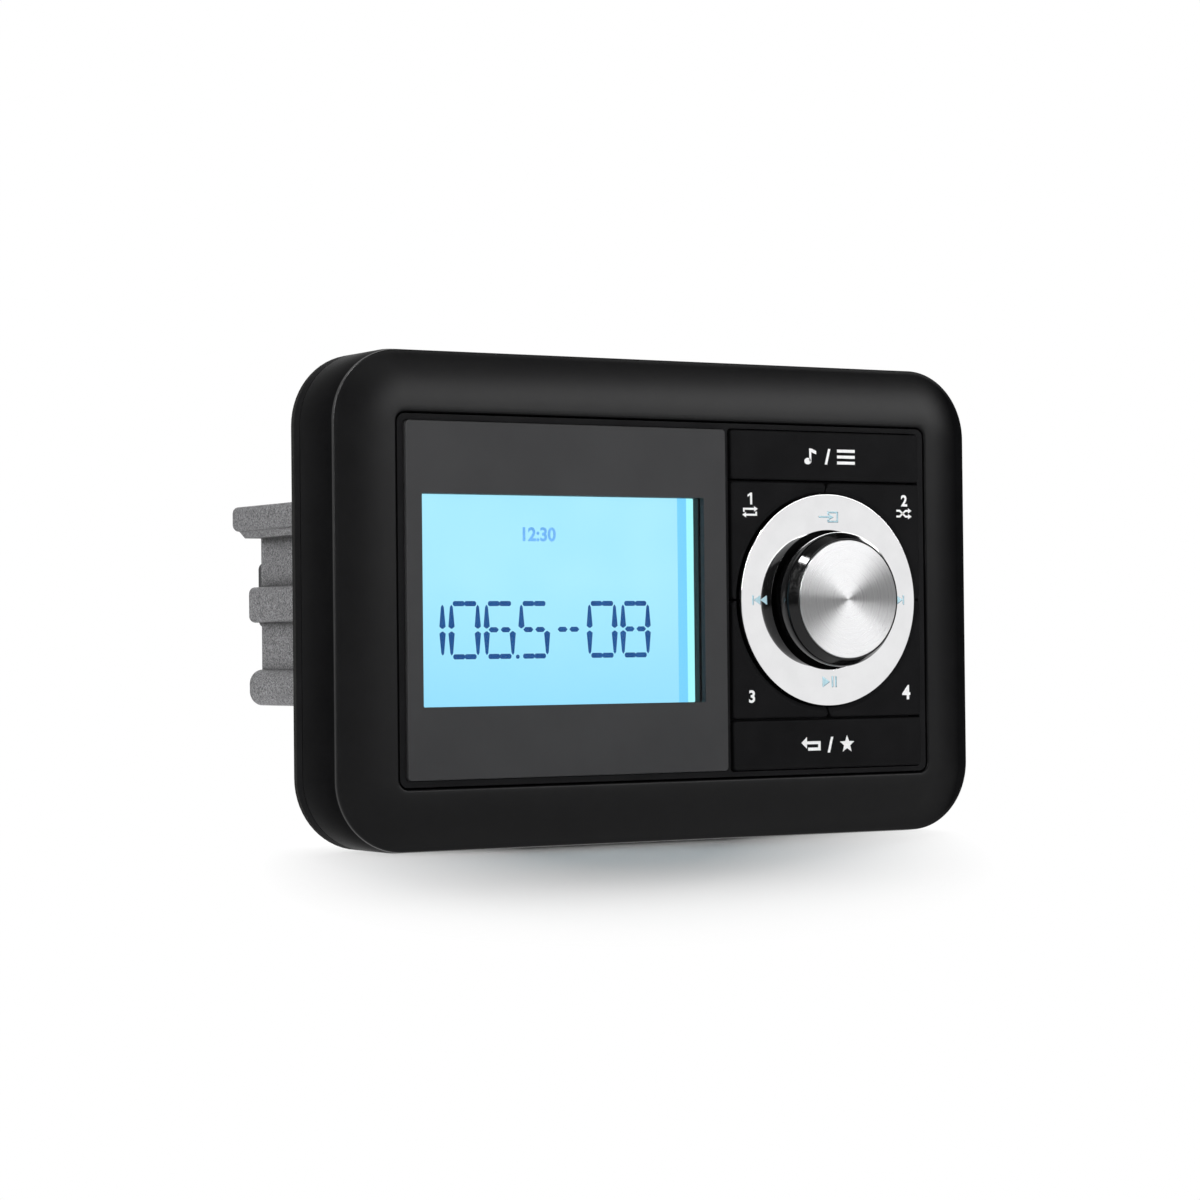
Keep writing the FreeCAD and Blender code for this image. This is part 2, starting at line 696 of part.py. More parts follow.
def front_trim():
    frame = swept_frame(trim_section(), TRIM_W / 2, TRIM_H / 2, trim_corner_r)
    wall_r = trim_corner_r - TRIM_WALL
    barb_y = flange_front_y - SNAP_POST_H + SNAP_LIP_H + SNAP_GAP
    barbs = [snap_block(p, wall_r - SNAP_BARB, wall_r + BITE, barb_y, barb_y + SNAP_BARB_H)
             for p in snap_places()]
    return join([frame] + barbs)


def panel_holes(y0, y1):
    """Cutting rods for the four panel screws."""
    places = four(panel_screw_x, panel_screw_z)
    return [rod(PANEL_HOLE_R, V(x, y0 - OVER, z), Y_DIR, y1 - y0 + 2 * OVER) for x, z in places]


def lug_places():
    """Middle of each screw hole in the housing's lugs."""
    return four(lug_x, housing_half_h + LUG_HOLE_OFFSET)


def mounting_flange():
    base = plate(0, 0, TRIM_W / 2, TRIM_H / 2, flange_front_y, flange_rear_y, trim_corner_r)
    posts = []
    for p in snap_places():
        top = flange_front_y - SNAP_POST_H
        posts.append(snap_block(p, snap_post_r - SNAP_POST_T, snap_post_r, top,
                                flange_front_y + BITE))
        posts.append(snap_block(p, snap_post_r - BITE, snap_post_r + SNAP_LIP, top,
                                top + SNAP_LIP_H))
    holes = panel_holes(flange_front_y, flange_rear_y)
    holes.append(block(-flange_hole_half_w, flange_hole_half_w, flange_front_y - OVER,
                       flange_rear_y + OVER, -flange_hole_half_h, flange_hole_half_h))
    for x, z in four(case_screw_x, case_screw_z):
        holes.append(rod(CASE_SCREW_R + SCREW_HOLE_GAP, V(x, flange_front_y - OVER, z), Y_DIR,
                         FLANGE_T + 2 * OVER))
    for x, z in lug_places():
        holes.append(rod(CASE_SCREW_R, V(x, flange_front_y - OVER, z), Y_DIR, FLANGE_T + 2 * OVER))
    return drill(join([base] + posts), holes)


def panel_gasket():
    pad = plate(0, 0, TRIM_W / 2, TRIM_H / 2, -GASKET_T, 0, trim_corner_r)
    opening = plate(0, 0, gasket_hole_half_w, gasket_hole_half_h, -GASKET_T - OVER, OVER,
                    REAR_PLATE_R)
    return drill(pad, panel_holes(-GASKET_T, 0) + [opening])


# Key area: every key's plan, its stem and its legs are worked out here, once


def corner_key_plan(sx, sz):
    """Plan of a corner key round the ring's centre: x0, x1, z0, z1."""
    near = KEY_GAP / 2
    xs = sorted((sx * near, sx * keys_w / 2))
    zs = sorted((sz * near, sz * corner_key_top_z))
    return xs[0], xs[1], zs[0], zs[1]


def bar_key_plan(sz):
    """Plan of a bar key round the ring's centre: x0, x1, z0, z1."""
    zs = sorted((sz * (bar_split_z + KEY_GAP / 2), sz * keys_h / 2))
    return -keys_w / 2, keys_w / 2, zs[0], zs[1]


KEYS = {}
for number, (sx, sz) in enumerate(((-1, 1), (1, 1), (-1, -1), (1, -1)), 1):
    KEYS["key_%d" % number] = {
        "plan": corner_key_plan(sx, sz),
        "stem": (sx * (keys_w / 2 - CORNER_STEM_INSET_X),
                 sz * (corner_key_top_z - CORNER_STEM_INSET_Z)),
        "legs": [(sx * keys_w / 2, sz * (corner_key_top_z - LEG_SIDE_INSET), sx, 0),
                 (sx * (keys_w / 2 - LEG_TOP_INSET), sz * corner_key_top_z, 0, sz)],
    }
for name, sz in (("upper_bar_key", 1), ("lower_bar_key", -1)):
    middle_z = sz * (bar_split_z + keys_h / 2) / 2
    KEYS[name] = {
        "plan": bar_key_plan(sz),
        "stem": (0.0, sz * bar_stem_z),
        "legs": [(-keys_w / 2, middle_z, -1, 0), (keys_w / 2, middle_z, 1, 0)],
    }

POSTS = [(post_circle_r, 0.0), (0.0, post_circle_r), (-post_circle_r, 0.0), (0.0, -post_circle_r)]


def beside_edge(leg, outer, inner, half, y0, y1):
    """Block beside a key's edge, between two distances inward from that edge."""
    x, z, nx, nz = leg
    xs = sorted((x - nx * outer, x - nx * inner)) if nx else (x - half, x + half)
    zs = sorted((z - nz * outer, z - nz * inner)) if nz else (z - half, z + half)
    return block(xs[0] + keys_x, xs[1] + keys_x, y0, y1, zs[0], zs[1])


def key_cap(key):
    """Hollow key cap with its stem and two snap legs."""
    x0, x1, z0, z1 = key["plan"]
    cap = plate(keys_x + (x0 + x1) / 2, (z0 + z1) / 2, (x1 - x0) / 2, (z1 - z0) / 2,
                key_front_y, key_back_y, KEY_CORNER_R)
    cap = cap.makeFillet(KEY_EDGE_R, edges_at(cap, key_front_y))
    hollow = block(keys_x + x0 + KEY_WALL, keys_x + x1 - KEY_WALL, key_front_y + KEY_TOP,
                   key_back_y + OVER, z0 + KEY_WALL, z1 - KEY_WALL)
    ring_space = rod(ring_hole_r, V(keys_x, key_front_y - OVER, 0), Y_DIR, KEY_DEPTH + 2 * OVER)
    ring_wall = rod(ring_hole_r + KEY_WALL, V(keys_x, key_front_y - OVER, 0), Y_DIR,
                    KEY_DEPTH + 2 * OVER)
    bevel_r = ring_hole_r + KEY_BEVEL_W
    bevel = Part.makeCone(bevel_r, ring_hole_r, KEY_BEVEL_H, V(keys_x, key_front_y, 0), Y_DIR)
    cap = cap.cut(ring_space).cut(bevel).cut(hollow.cut(ring_wall))
    sx, sz = key["stem"]
    top_y = key_front_y + KEY_TOP - BITE
    pieces = [cap, rod(STEM_R, V(keys_x + sx, top_y, sz), Y_DIR, button_front_y - top_y)]
    barb_y = floor_back_y + LEG_REST_GAP
    near = LEG_SETBACK + LEG_T
    for leg in key["legs"]:
        pieces.append(beside_edge(leg, LEG_SETBACK, near, LEG_W / 2, key_back_y - OVER,
                                  barb_y + LEG_BARB_H))
        pieces.append(beside_edge(leg, near - BITE, near + LEG_BARB, LEG_W / 2, barb_y,
                                  barb_y + LEG_BARB_H))
    return join(pieces)


def floor_holes():
    """Everything that passes through the floor of the key well."""
    y0 = floor_front_y - OVER
    depth = FLOOR_T + 2 * OVER
    holes = [rod(bushing_r + BUSHING_HOLE_GAP, V(keys_x, y0, 0), Y_DIR, depth)]
    for key in KEYS.values():
        x, z = key["stem"]
        holes.append(rod(STEM_R + STEM_GAP, V(keys_x + x, y0, z), Y_DIR, depth))
        for leg in key["legs"]:
            holes.append(beside_edge(leg, LEG_SETBACK - LEG_SLOT_GAP,
                                     LEG_SETBACK + LEG_T + LEG_SLOT_GAP,
                                     LEG_W / 2 + LEG_SLOT_GAP, y0, y0 + depth))
    for x, z in POSTS:
        holes.append(rod(POST_R + POST_GAP, V(keys_x + x, y0, z), Y_DIR, depth))
    return holes


def pin_seat(along_x, sign, y0, y1):
    """Block with a bore that holds one gimbal pin."""
    near = gimbal_inner_r + GIMBAL_W + PIN_SEAT_GAP
    span = sorted((sign * near, sign * (near + PIN_SEAT_T)))
    half = PIN_SEAT_W / 2
    if along_x:
        body = block(keys_x + span[0], keys_x + span[1], y0, y1, -half, half)
        bore = rod(PIN_R + PIN_GAP, V(keys_x + span[0] - OVER, pivot_y, 0), X_DIR,
                   PIN_SEAT_T + 2 * OVER)
    else:
        body = block(keys_x - half, keys_x + half, y0, y1, span[0], span[1])
        bore = rod(PIN_R + PIN_GAP, V(keys_x, pivot_y, span[0] - OVER), Z_DIR,
                   PIN_SEAT_T + 2 * OVER)
    return body.cut(bore)


def board_boss_places():
    xs = (BOSS_INSET_X - housing_half_w, fascia_right_x - BOSS_MID_INSET,
          keys_x + BOSS_RIGHT_OFFSET)
    return [(x, sz * (housing_half_h - BOSS_INSET_Z)) for x in xs for sz in (-1, 1)]


def display_opening(y0, y1):
    """Cutting block for the hole behind the fascia that the display looks through."""
    half_w = glass_half_w + FASCIA_GAP
    half_h = glass_half_h + FASCIA_GAP
    return block(view_x - half_w, view_x + half_w, y0, y1, -half_h, half_h)


def front_housing():
    """Face frame, display pocket and key well in one moulding, open at the back."""
    shell = plate(0, 0, housing_half_w, housing_half_h, face_y, flange_front_y, housing_corner_r)
    inner_w = housing_half_w - HOUSING_WALL
    inner_h = housing_half_h - HOUSING_WALL
    shell = shell.cut(block(-inner_w, well_left_x - DIVIDER_T, face_back_y,
                            flange_front_y + OVER, -inner_h, inner_h))
    shell = shell.cut(block(well_left_x - OVER, inner_w, floor_back_y,
                            flange_front_y + OVER, -inner_h, inner_h))
    shell = shell.cut(plate(keys_x, 0, well_half_w, well_half_h, face_y - OVER, floor_front_y,
                            KEY_CORNER_R))
    pocket = plate(fascia_x, 0, fascia_w / 2 + FASCIA_GAP, fascia_h / 2 + FASCIA_GAP,
                   face_y - OVER, pocket_y, FASCIA_CORNER_R)
    opening = display_opening(face_y - OVER, face_back_y + OVER)
    shell = drill(shell, [pocket, opening] + floor_holes())
    rear = block(well_left_x - DIVIDER_T - OVER, well_left_x + OVER, floor_back_y,
                 flange_front_y + OVER, -inner_h, inner_h)
    pieces = [shell.cut(rear)]
    for sx in (-1, 1):
        pieces.append(pin_seat(True, sx, pivot_y - PIN_SEAT_TOP, floor_front_y + BITE))
    for x, z in board_boss_places():
        start = floor_back_y if x > well_left_x else face_back_y
        pieces.append(rod(BOSS_R, V(x, start - BITE, z), Y_DIR,
                          board_front_y - start + BITE))
    for x, z in lug_places():
        reach = sorted((math.copysign(housing_half_h - HOUSING_WALL / 2, z),
                        math.copysign(housing_half_h + LUG_REACH, z)))
        pieces.append(block(x - LUG_W / 2, x + LUG_W / 2, flange_front_y - LUG_T, flange_front_y,
                            reach[0], reach[1]))
    body = join(pieces)
    holes = []
    for x, z in board_boss_places():
        holes.append(rod(SMALL_SCREW_R, V(x, board_back_y - SMALL_SCREW_L, z), Y_DIR,
                         SMALL_SCREW_L))
    for x, z in lug_places():
        holes.append(rod(CASE_SCREW_R + SCREW_HOLE_GAP, V(x, flange_front_y - LUG_T - OVER, z),
                         Y_DIR, LUG_T + 2 * OVER))
    return drill(body, holes)


# Display: fascia and window in front, then holder, glass, contacts and light guide


def display_fascia():
    panel = plate(fascia_x, 0, fascia_w / 2, fascia_h / 2, fascia_front_y, fascia_back_y,
                  FASCIA_CORNER_R)
    panel = panel.makeFillet(FASCIA_EDGE_R, edges_at(panel, fascia_front_y))
    return panel.cut(plate(view_x, 0, view_w / 2, view_h / 2, fascia_front_y - OVER,
                           fascia_back_y + OVER, VIEW_CORNER_R))


def display_window():
    front = plate(view_x, 0, view_w / 2 - PANE_GAP, view_h / 2 - PANE_GAP, fascia_front_y,
                  fascia_back_y, VIEW_CORNER_R)
    flange = block(view_x - pane_half_w, view_x + pane_half_w, fascia_back_y, pane_back_y,
                   -pane_half_h, pane_half_h)
    return join([front, flange])


def fascia_tape():
    half_w = fascia_w / 2 - TAPE_INSET
    half_h = fascia_h / 2 - TAPE_INSET
    tape = plate(fascia_x, 0, half_w, half_h, fascia_back_y, pocket_y, FASCIA_CORNER_R)
    return tape.cut(display_opening(fascia_back_y - OVER, pocket_y + OVER))


def lcd_holder():
    lip_w = glass_half_w
    lip_h = glass_half_h
    lip_y = pane_back_y + HOLDER_GAP
    body_y = face_back_y + HOLDER_GAP
    lip = block(view_x - lip_w, view_x + lip_w, lip_y, body_y, -lip_h, lip_h)
    body = block(view_x - lip_w - HOLDER_WALL, view_x + lip_w + HOLDER_WALL, body_y,
                 board_front_y, -lip_h - HOLDER_WALL, lip_h + HOLDER_WALL)
    view = plate(view_x, 0, view_w / 2, view_h / 2, lip_y - OVER, display_y + OVER,
                 VIEW_CORNER_R)
    pocket = block(view_x - glass_half_w, view_x + glass_half_w, display_y,
                   board_front_y + OVER, -glass_half_h, glass_half_h)
    return drill(join([lip, body]), [view, pocket])


def lcd_glass():
    w = glass_half_w - HOLDER_GAP
    h = glass_half_h - HOLDER_GAP
    return block(view_x - w, view_x + w, display_y, display_back_y, -h, h)


def lcd_contact_strips():
    far = glass_half_h - HOLDER_GAP
    half = view_w / 2 - CONTACT_INSET
    return [block(view_x - half, view_x + half, display_back_y, board_front_y,
                  min(s * far, s * (far - CONTACT_T)), max(s * far, s * (far - CONTACT_T)))
            for s in (-1, 1)]


def light_guide():
    return block(view_x - guide_half_w, view_x + guide_half_w,
                 display_back_y + LIGHT_GUIDE_GAP, board_front_y, -guide_half_h, guide_half_h)


def backlight_leds():
    right = view_x - guide_half_w - LED_GAP
    first = -LED_PITCH * (LED_COUNT - 1) / 2
    return [block(right - LED_SIZE, right, board_front_y - LED_H, board_front_y,
                  first + i * LED_PITCH - LED_SIZE / 2, first + i * LED_PITCH + LED_SIZE / 2)
            for i in range(LED_COUNT)]


# Front board, tact switches and their buttons


def front_board():
    half_w = housing_half_w - HOUSING_WALL - BOARD_GAP
    half_h = housing_half_h - HOUSING_WALL - BOARD_GAP
    board = block(-half_w, half_w, board_front_y, board_back_y, -half_h, half_h)
    return drill(board, [rod(SMALL_SCREW_R + SCREW_HOLE_GAP, V(x, board_front_y - OVER, z), Y_DIR,
                             BOARD_T + 2 * OVER) for x, z in board_boss_places()])


def switch_places():
    return [key["stem"] for key in KEYS.values()] + POSTS


def tact_switches():
    """Switch cases, each with a round well for its button."""
    cases = []
    half = SWITCH_SIZE / 2
    well = BUTTON_DEPTH + KEY_TRAVEL + BUTTON_ROOM
    for x, z in switch_places():
        case = block(keys_x + x - half, keys_x + x + half, switch_front_y, board_front_y,
                     z - half, z + half)
        cases.append(case.cut(rod(BUTTON_R + BUTTON_GAP, V(keys_x + x, switch_front_y - OVER, z),
                                  Y_DIR, well + OVER)))
    return cases


def button(x, z, depth):
    """Switch button, reaching a depth into its case."""
    return rod(BUTTON_R, V(keys_x + x, button_front_y, z), Y_DIR, BUTTON_PROUD + depth)


# Ring: silver face on a base that rocks on a gimbal


def ring_face():
    ring = tube(RING_OUTER_R, ring_inner_r, V(keys_x, ring_front_y, 0), Y_DIR, RING_T)
    return ring.makeFillet(RING_EDGE_R, edges_at(ring, ring_front_y))


def ring_base():
    disc = tube(RING_OUTER_R - RING_BASE_INSET, ring_inner_r + RING_BASE_INSET,
                V(keys_x, ring_back_y, 0), Y_DIR, RING_BASE_T)
    post_end = button_front_y - POST_PRESS_GAP
    posts = [rod(POST_R, V(keys_x + x, ring_base_back_y - BITE, z), Y_DIR,
                 post_end - ring_base_back_y + BITE) for x, z in POSTS]
    ears = [pin_seat(False, sz, ring_base_back_y - BITE, pivot_y + EAR_TAIL + PIN_R)
            for sz in (-1, 1)]
    return join([disc] + posts + ears)


def ring_gimbal():
    outer = gimbal_inner_r + GIMBAL_W
    ring = tube(outer, gimbal_inner_r, V(keys_x, pivot_y - GIMBAL_T / 2, 0), Y_DIR, GIMBAL_T)
    start = outer - GIMBAL_W / 2
    length = GIMBAL_W / 2 + PIN_SEAT_GAP + PIN_SEAT_T
    pins = [rod(PIN_R, V(keys_x + s * start, pivot_y, 0), X_DIR * s, length) for s in (-1, 1)]
    pins += [rod(PIN_R, V(keys_x, pivot_y, s * start), Z_DIR * s, length) for s in (-1, 1)]
    return join([ring] + pins)


# Rotary encoder: case, bushing, washer, nut, shaft and push plunger

encoder_room_y = floor_back_y + ENCODER_ROOM_ROOF
encoder_room_end_y = board_front_y - ENCODER_ROOM_FLOOR
shaft_end_y = floor_back_y + SHAFT_TAIL


def encoder_case():
    case = block(keys_x - ENCODER_W / 2, keys_x + ENCODER_W / 2, floor_back_y, board_front_y,
                 -ENCODER_H / 2, ENCODER_H / 2)
    bore = rod(SHAFT_R + SHAFT_GAP, V(keys_x, floor_back_y - OVER, 0), Y_DIR,
               OVER + ENCODER_ROOM_ROOF + BITE)
    room = rod(SHAFT_R + ENCODER_ROOM_GAP, V(keys_x, encoder_room_y, 0), Y_DIR,
               encoder_room_end_y - encoder_room_y)
    return drill(case, [bore, room])


def encoder_bushing():
    return tube(bushing_r, SHAFT_R + SHAFT_GAP, V(keys_x, bushing_front_y, 0), Y_DIR,
                floor_back_y - bushing_front_y)


def encoder_washer():
    return tube(bushing_r + WASHER_W, bushing_r, V(keys_x, floor_front_y - WASHER_T, 0), Y_DIR,
                WASHER_T)


def encoder_nut():
    corner = (bushing_r + NUT_WALL) / math.cos(math.pi / SIDES_OF_NUT)
    y = floor_front_y - WASHER_T - NUT_T
    turns = [2 * math.pi * i / SIDES_OF_NUT for i in range(SIDES_OF_NUT + 1)]
    points = [V(keys_x + corner * math.cos(a), y, corner * math.sin(a)) for a in turns]
    hexagon = Part.Face(Part.makePolygon(points)).extrude(V(0, NUT_T, 0))
    return hexagon.cut(rod(bushing_r, V(keys_x, y - OVER, 0), Y_DIR, NUT_T + 2 * OVER))


def encoder_shaft():
    start = knob_face_y + CAP_T + KNOB_TOP
    return rod(SHAFT_R, V(keys_x, start, 0), Y_DIR, shaft_end_y - start)


def encoder_plunger():
    return rod(SHAFT_R - PLUNGER_INSET, V(keys_x, shaft_end_y + PLUNGER_GAP, 0), Y_DIR, PLUNGER_T)


# Knob, turned in one piece, with a thin metal cap let into its face


def knob_body():
    rim_y = knob_face_y + KNOB_RIM_DROP
    seat_y = knob_face_y + CAP_T
    ceiling_y = seat_y + KNOB_TOP
    hub_y = bushing_front_y - KNOB_HUB_GAP
    wide_y = ring_front_y - KNOB_WIDE_H
    shoulder_y = ring_front_y - KNOB_SHOULDER_H
    inner_r = KNOB_WIDE_R - KNOB_WALL
    seat_r = knob_rim_r - KNOB_RIM_W
    hub_r = SHAFT_R + KNOB_HUB_WALL
    bow_r = (knob_base_r + KNOB_WIDE_R) / 2 + KNOB_BOW
    bow_y = (knob_base_y + wide_y) / 2
    turn_r = (KNOB_WIDE_R + knob_shoulder_r) / 2 + KNOB_SHOULDER_BOW
    turn_y = (wide_y + shoulder_y) / 2
    return turned([
        V(knob_base_r, knob_base_y, 0),
        (V(bow_r, bow_y, 0), V(KNOB_WIDE_R, wide_y, 0)),
        (V(turn_r, turn_y, 0), V(knob_shoulder_r, shoulder_y, 0)),
        V(knob_rim_r, rim_y, 0),
        V(seat_r, rim_y, 0),
        V(seat_r, seat_y, 0),
        V(0, seat_y, 0),
        V(0, ceiling_y, 0),
        V(SHAFT_R, ceiling_y, 0),
        V(SHAFT_R, hub_y, 0),
        V(hub_r, hub_y, 0),
        V(hub_r, ceiling_y, 0),
        V(inner_r, ceiling_y, 0),
        V(inner_r - KNOB_BASE_TAPER, knob_base_y, 0),
    ], keys_x, 0)


def knob_cap():
    radius = knob_rim_r - KNOB_RIM_W - CAP_GAP
    cap = rod(radius, V(keys_x, knob_face_y, 0), Y_DIR, CAP_T)
    return cap.makeFillet(CAP_EDGE_R, edges_at(cap, knob_face_y))


# Heat sink casting: a box open at both ends, with ribs that run front to back


def rib(x0, x1, z0, z1, corner_r):
    return plate((x0 + x1) / 2, (z0 + z1) / 2, (x1 - x0) / 2, (z1 - z0) / 2,
                 sink_front_y, sink_rear_y, corner_r)


def side_ribs(side):
    """The fin, the lip under it and the two ribs of one side."""
    def across(near, far):
        return sorted((side * near, side * far))

    root = sink_half_w - SINK_RIB_ROOT
    rib_x = sink_half_w + SINK_RIB_PROUD
    fin_under_z = sink_half_h - SINK_FIN_DROP
    fin = rib(*across(root, sink_fin_x), fin_under_z, sink_fin_top_z, SINK_FIN_R)
    middle = rib(*across(root, rib_x), SINK_MID_BOTTOM, SINK_MID_TOP, SINK_MID_R)
    low = rib(*across(root, rib_x), -sink_fin_top_z, SINK_LOW_DROP - sink_half_h, SINK_LOW_R)
    lip_x = sink_half_w + SINK_LIP_PROUD
    lip_z = sink_half_h - SINK_LIP_DROP
    lip_top_z = fin_under_z + SINK_LIP_BITE
    lip_points = ((root, lip_z), (lip_x, lip_z), (lip_x + SINK_LIP_SLOPE, lip_top_z),
                  (root, lip_top_z), (root, lip_z))
    points = [V(side * x, sink_front_y, z) for x, z in lip_points]
    lip = Part.Face(Part.makePolygon(points)).extrude(V(0, sink_rear_y - sink_front_y, 0))
    return [fin, middle, low, lip]


def case_screw_block(x, z, y0, y1):
    """Square post in a corner of the casting that takes a case screw."""
    xs = sorted((math.copysign(cavity_half_w + BITE, x),
                 math.copysign(cavity_half_w - POST_BLOCK_W, x)))
    zs = sorted((math.copysign(cavity_half_h + BITE, z),
                 math.copysign(cavity_half_h - POST_BLOCK_H, z)))
    return block(xs[0], xs[1], y0, y1, zs[0], zs[1])


def main_boss_places():
    ys = (MAIN_BOARD_FRONT_Y + MAIN_BOSS_INSET_Y, main_board_rear_y - MAIN_BOSS_INSET_Y)
    return [(s * main_boss_x, y) for s in (-1, 1) for y in ys]


def heat_sink():
    length = sink_rear_y - sink_front_y
    body = block(-sink_half_w, sink_half_w, sink_front_y, sink_rear_y, -sink_half_h, sink_half_h)
    pieces = [body] + side_ribs(-1) + side_ribs(1)
    root = sink_half_h - SINK_RIB_ROOT
    for i in range(SINK_RIBS):
        x = (i - (SINK_RIBS - 1) / 2) * SINK_RIB_PITCH
        for z0, z1 in ((root, sink_fin_top_z), (-sink_fin_top_z, -root)):
            pieces.append(rib(x - SINK_RIB_W / 2, x + SINK_RIB_W / 2, z0, z1, SINK_MID_R))
    shell = join(pieces).cut(block(-cavity_half_w, cavity_half_w, sink_front_y - OVER,
                                   sink_rear_y + OVER, -cavity_half_h, cavity_half_h))
    inside = []
    for x, z in four(case_screw_x, case_screw_z):
        inside.append(case_screw_block(x, z, sink_front_y, sink_front_y + POST_BLOCK_L))
        inside.append(case_screw_block(x, z, sink_rear_y - POST_BLOCK_L, sink_rear_y))
    for x, y in main_boss_places():
        inside.append(rod(MAIN_BOSS_R, V(x, y, -cavity_half_h - BITE), Z_DIR,
                          board_under_z + cavity_half_h + BITE))
    seat_run = clamp_screw_run + CHIP_SEAT_MARGIN
    inside.append(block(chip_seat_x, cavity_half_w + BITE, chip_y - seat_run, chip_y + seat_run,
                        board_top_z + CHIP_LIFT / 2, cavity_half_h + BITE))
    body = join([shell] + inside)
    holes = []
    for x, z in four(case_screw_x, case_screw_z):
        holes.append(rod(CASE_SCREW_R, V(x, sink_front_y - OVER, z), Y_DIR, CASE_HOLE_L))
        holes.append(rod(CASE_SCREW_R, V(x, sink_rear_y + OVER, z), -Y_DIR, CASE_HOLE_L))
    for x, y in main_boss_places():
        holes.append(rod(SMALL_SCREW_R, V(x, y, board_top_z), -Z_DIR, SMALL_SCREW_L))
    for y in clamp_screw_places():
        holes.append(rod(CASE_SCREW_R, V(chip_seat_x - OVER, y, clamp_z), X_DIR,
                         clamp_x + CASE_SCREW_L - chip_seat_x + OVER))
    return drill(body, holes)


def chassis_seal():
    pad = plate(0, 0, sink_half_w, sink_half_h, flange_rear_y, seal_back_y, REAR_PLATE_R)
    holes = [rod(CASE_SCREW_R + SCREW_HOLE_GAP, V(x, flange_rear_y - OVER, z), Y_DIR,
                 SEAL_T + 2 * OVER) for x, z in four(case_screw_x, case_screw_z)]
    opening = block(-flange_hole_half_w, flange_hole_half_w, flange_rear_y - OVER,
                    seal_back_y + OVER, -flange_hole_half_h, flange_hole_half_h)
    return drill(pad, holes + [opening])


# Main board with its parts


def main_board():
    board = block(-main_board_half_w, main_board_half_w, MAIN_BOARD_FRONT_Y, main_board_rear_y,
                  board_under_z, board_top_z)
    return drill(board, [rod(SMALL_SCREW_R + SCREW_HOLE_GAP,
                             V(x, y, board_under_z - OVER), Z_DIR, BOARD_T + 2 * OVER)
                         for x, y in main_boss_places()])


def clamp_screw_places():
    return (chip_y - clamp_screw_run, chip_y + clamp_screw_run)


def amplifier_chip():
    body = block(chip_x, chip_x + CHIP_T, chip_y - CHIP_L / 2, chip_y + CHIP_L / 2,
                 chip_low_z, chip_low_z + CHIP_H)
    first = chip_y - CHIP_LEAD_STEP * (CHIP_LEADS - 1) / 2
    middle = chip_x + CHIP_T / 2
    leads = [block(middle - CHIP_LEAD_W / 2, middle + CHIP_LEAD_W / 2,
                   first + i * CHIP_LEAD_STEP - CHIP_LEAD_W / 2,
                   first + i * CHIP_LEAD_STEP + CHIP_LEAD_W / 2,
                   board_top_z, chip_low_z + BITE) for i in range(CHIP_LEADS)]
    return join([body] + leads)


def thermal_pad():
    return block(chip_seat_x - CHIP_PAD_T, chip_seat_x, chip_y - CHIP_L / 2, chip_y + CHIP_L / 2,
                 chip_low_z, chip_low_z + CHIP_H)


def chip_clamp():
    strip = block(clamp_x, chip_x, chip_y - clamp_half_l, chip_y + clamp_half_l,
                  clamp_z - CLAMP_H / 2, clamp_z + CLAMP_H / 2)
    return drill(strip, [rod(CASE_SCREW_R + SCREW_HOLE_GAP, V(clamp_x - OVER, y, clamp_z),
                             X_DIR, CLAMP_T + 2 * OVER) for y in clamp_screw_places()])


def capacitors():
    cans = []
    for i in range(CAPACITORS):
        foot = V(capacitor_x + i * CAPACITOR_PITCH, capacitor_y, board_top_z)
        can = rod(CAPACITOR_R, foot, Z_DIR, CAPACITOR_H)
        cans.append(can.makeFillet(CAPACITOR_EDGE_R,
                                   [e for e in can.Edges if e.BoundBox.ZMin > foot.z + OVER]))
    return cans


def choke_coil():
    return Part.makeTorus(CHOKE_R, CHOKE_WIRE_R,
                          V(choke_x, choke_y, board_top_z + CHOKE_WIRE_R), Z_DIR)


def tuner_module():
    return block(tuner_x - TUNER_W / 2, tuner_x + TUNER_W / 2, tuner_y - TUNER_L / 2,
                 tuner_y + TUNER_L / 2, board_top_z, board_top_z + TUNER_H)


def wireless_module():
    base = block(wireless_x - WIRELESS_W / 2, wireless_x + WIRELESS_W / 2,
                 wireless_y - WIRELESS_L / 2, wireless_y + WIRELESS_L / 2,
                 board_top_z, board_top_z + WIRELESS_BOARD_T)
    inset = WIRELESS_CAN_INSET
    can = block(wireless_x - WIRELESS_W / 2 + inset, wireless_x + WIRELESS_W / 2 - inset,
                wireless_y - WIRELESS_L / 2 + inset, wireless_y + WIRELESS_L / 2 - inset,
                board_top_z + WIRELESS_BOARD_T,
                board_top_z + WIRELESS_BOARD_T + WIRELESS_CAN_H)
    return join([base, can])


# Flat cable between the boards, with one bend, and a socket at each end

cable_y = board_back_y + CABLE_SOCKET_H / 2
cable_z = board_top_z + CABLE_SOCKET_H / 2
cable_end_y = MAIN_BOARD_FRONT_Y + BITE


def cable_sockets():
    half = CABLE_SOCKET_W / 2
    front = block(cable_x - half, cable_x + half, board_back_y, board_back_y + CABLE_SOCKET_H,
                  cable_top_z, cable_top_z + CABLE_SOCKET_L)
    main = block(cable_x - half, cable_x + half, cable_end_y, cable_end_y + CABLE_SOCKET_L,
                 board_top_z, board_top_z + CABLE_SOCKET_H)
    return [front, main]


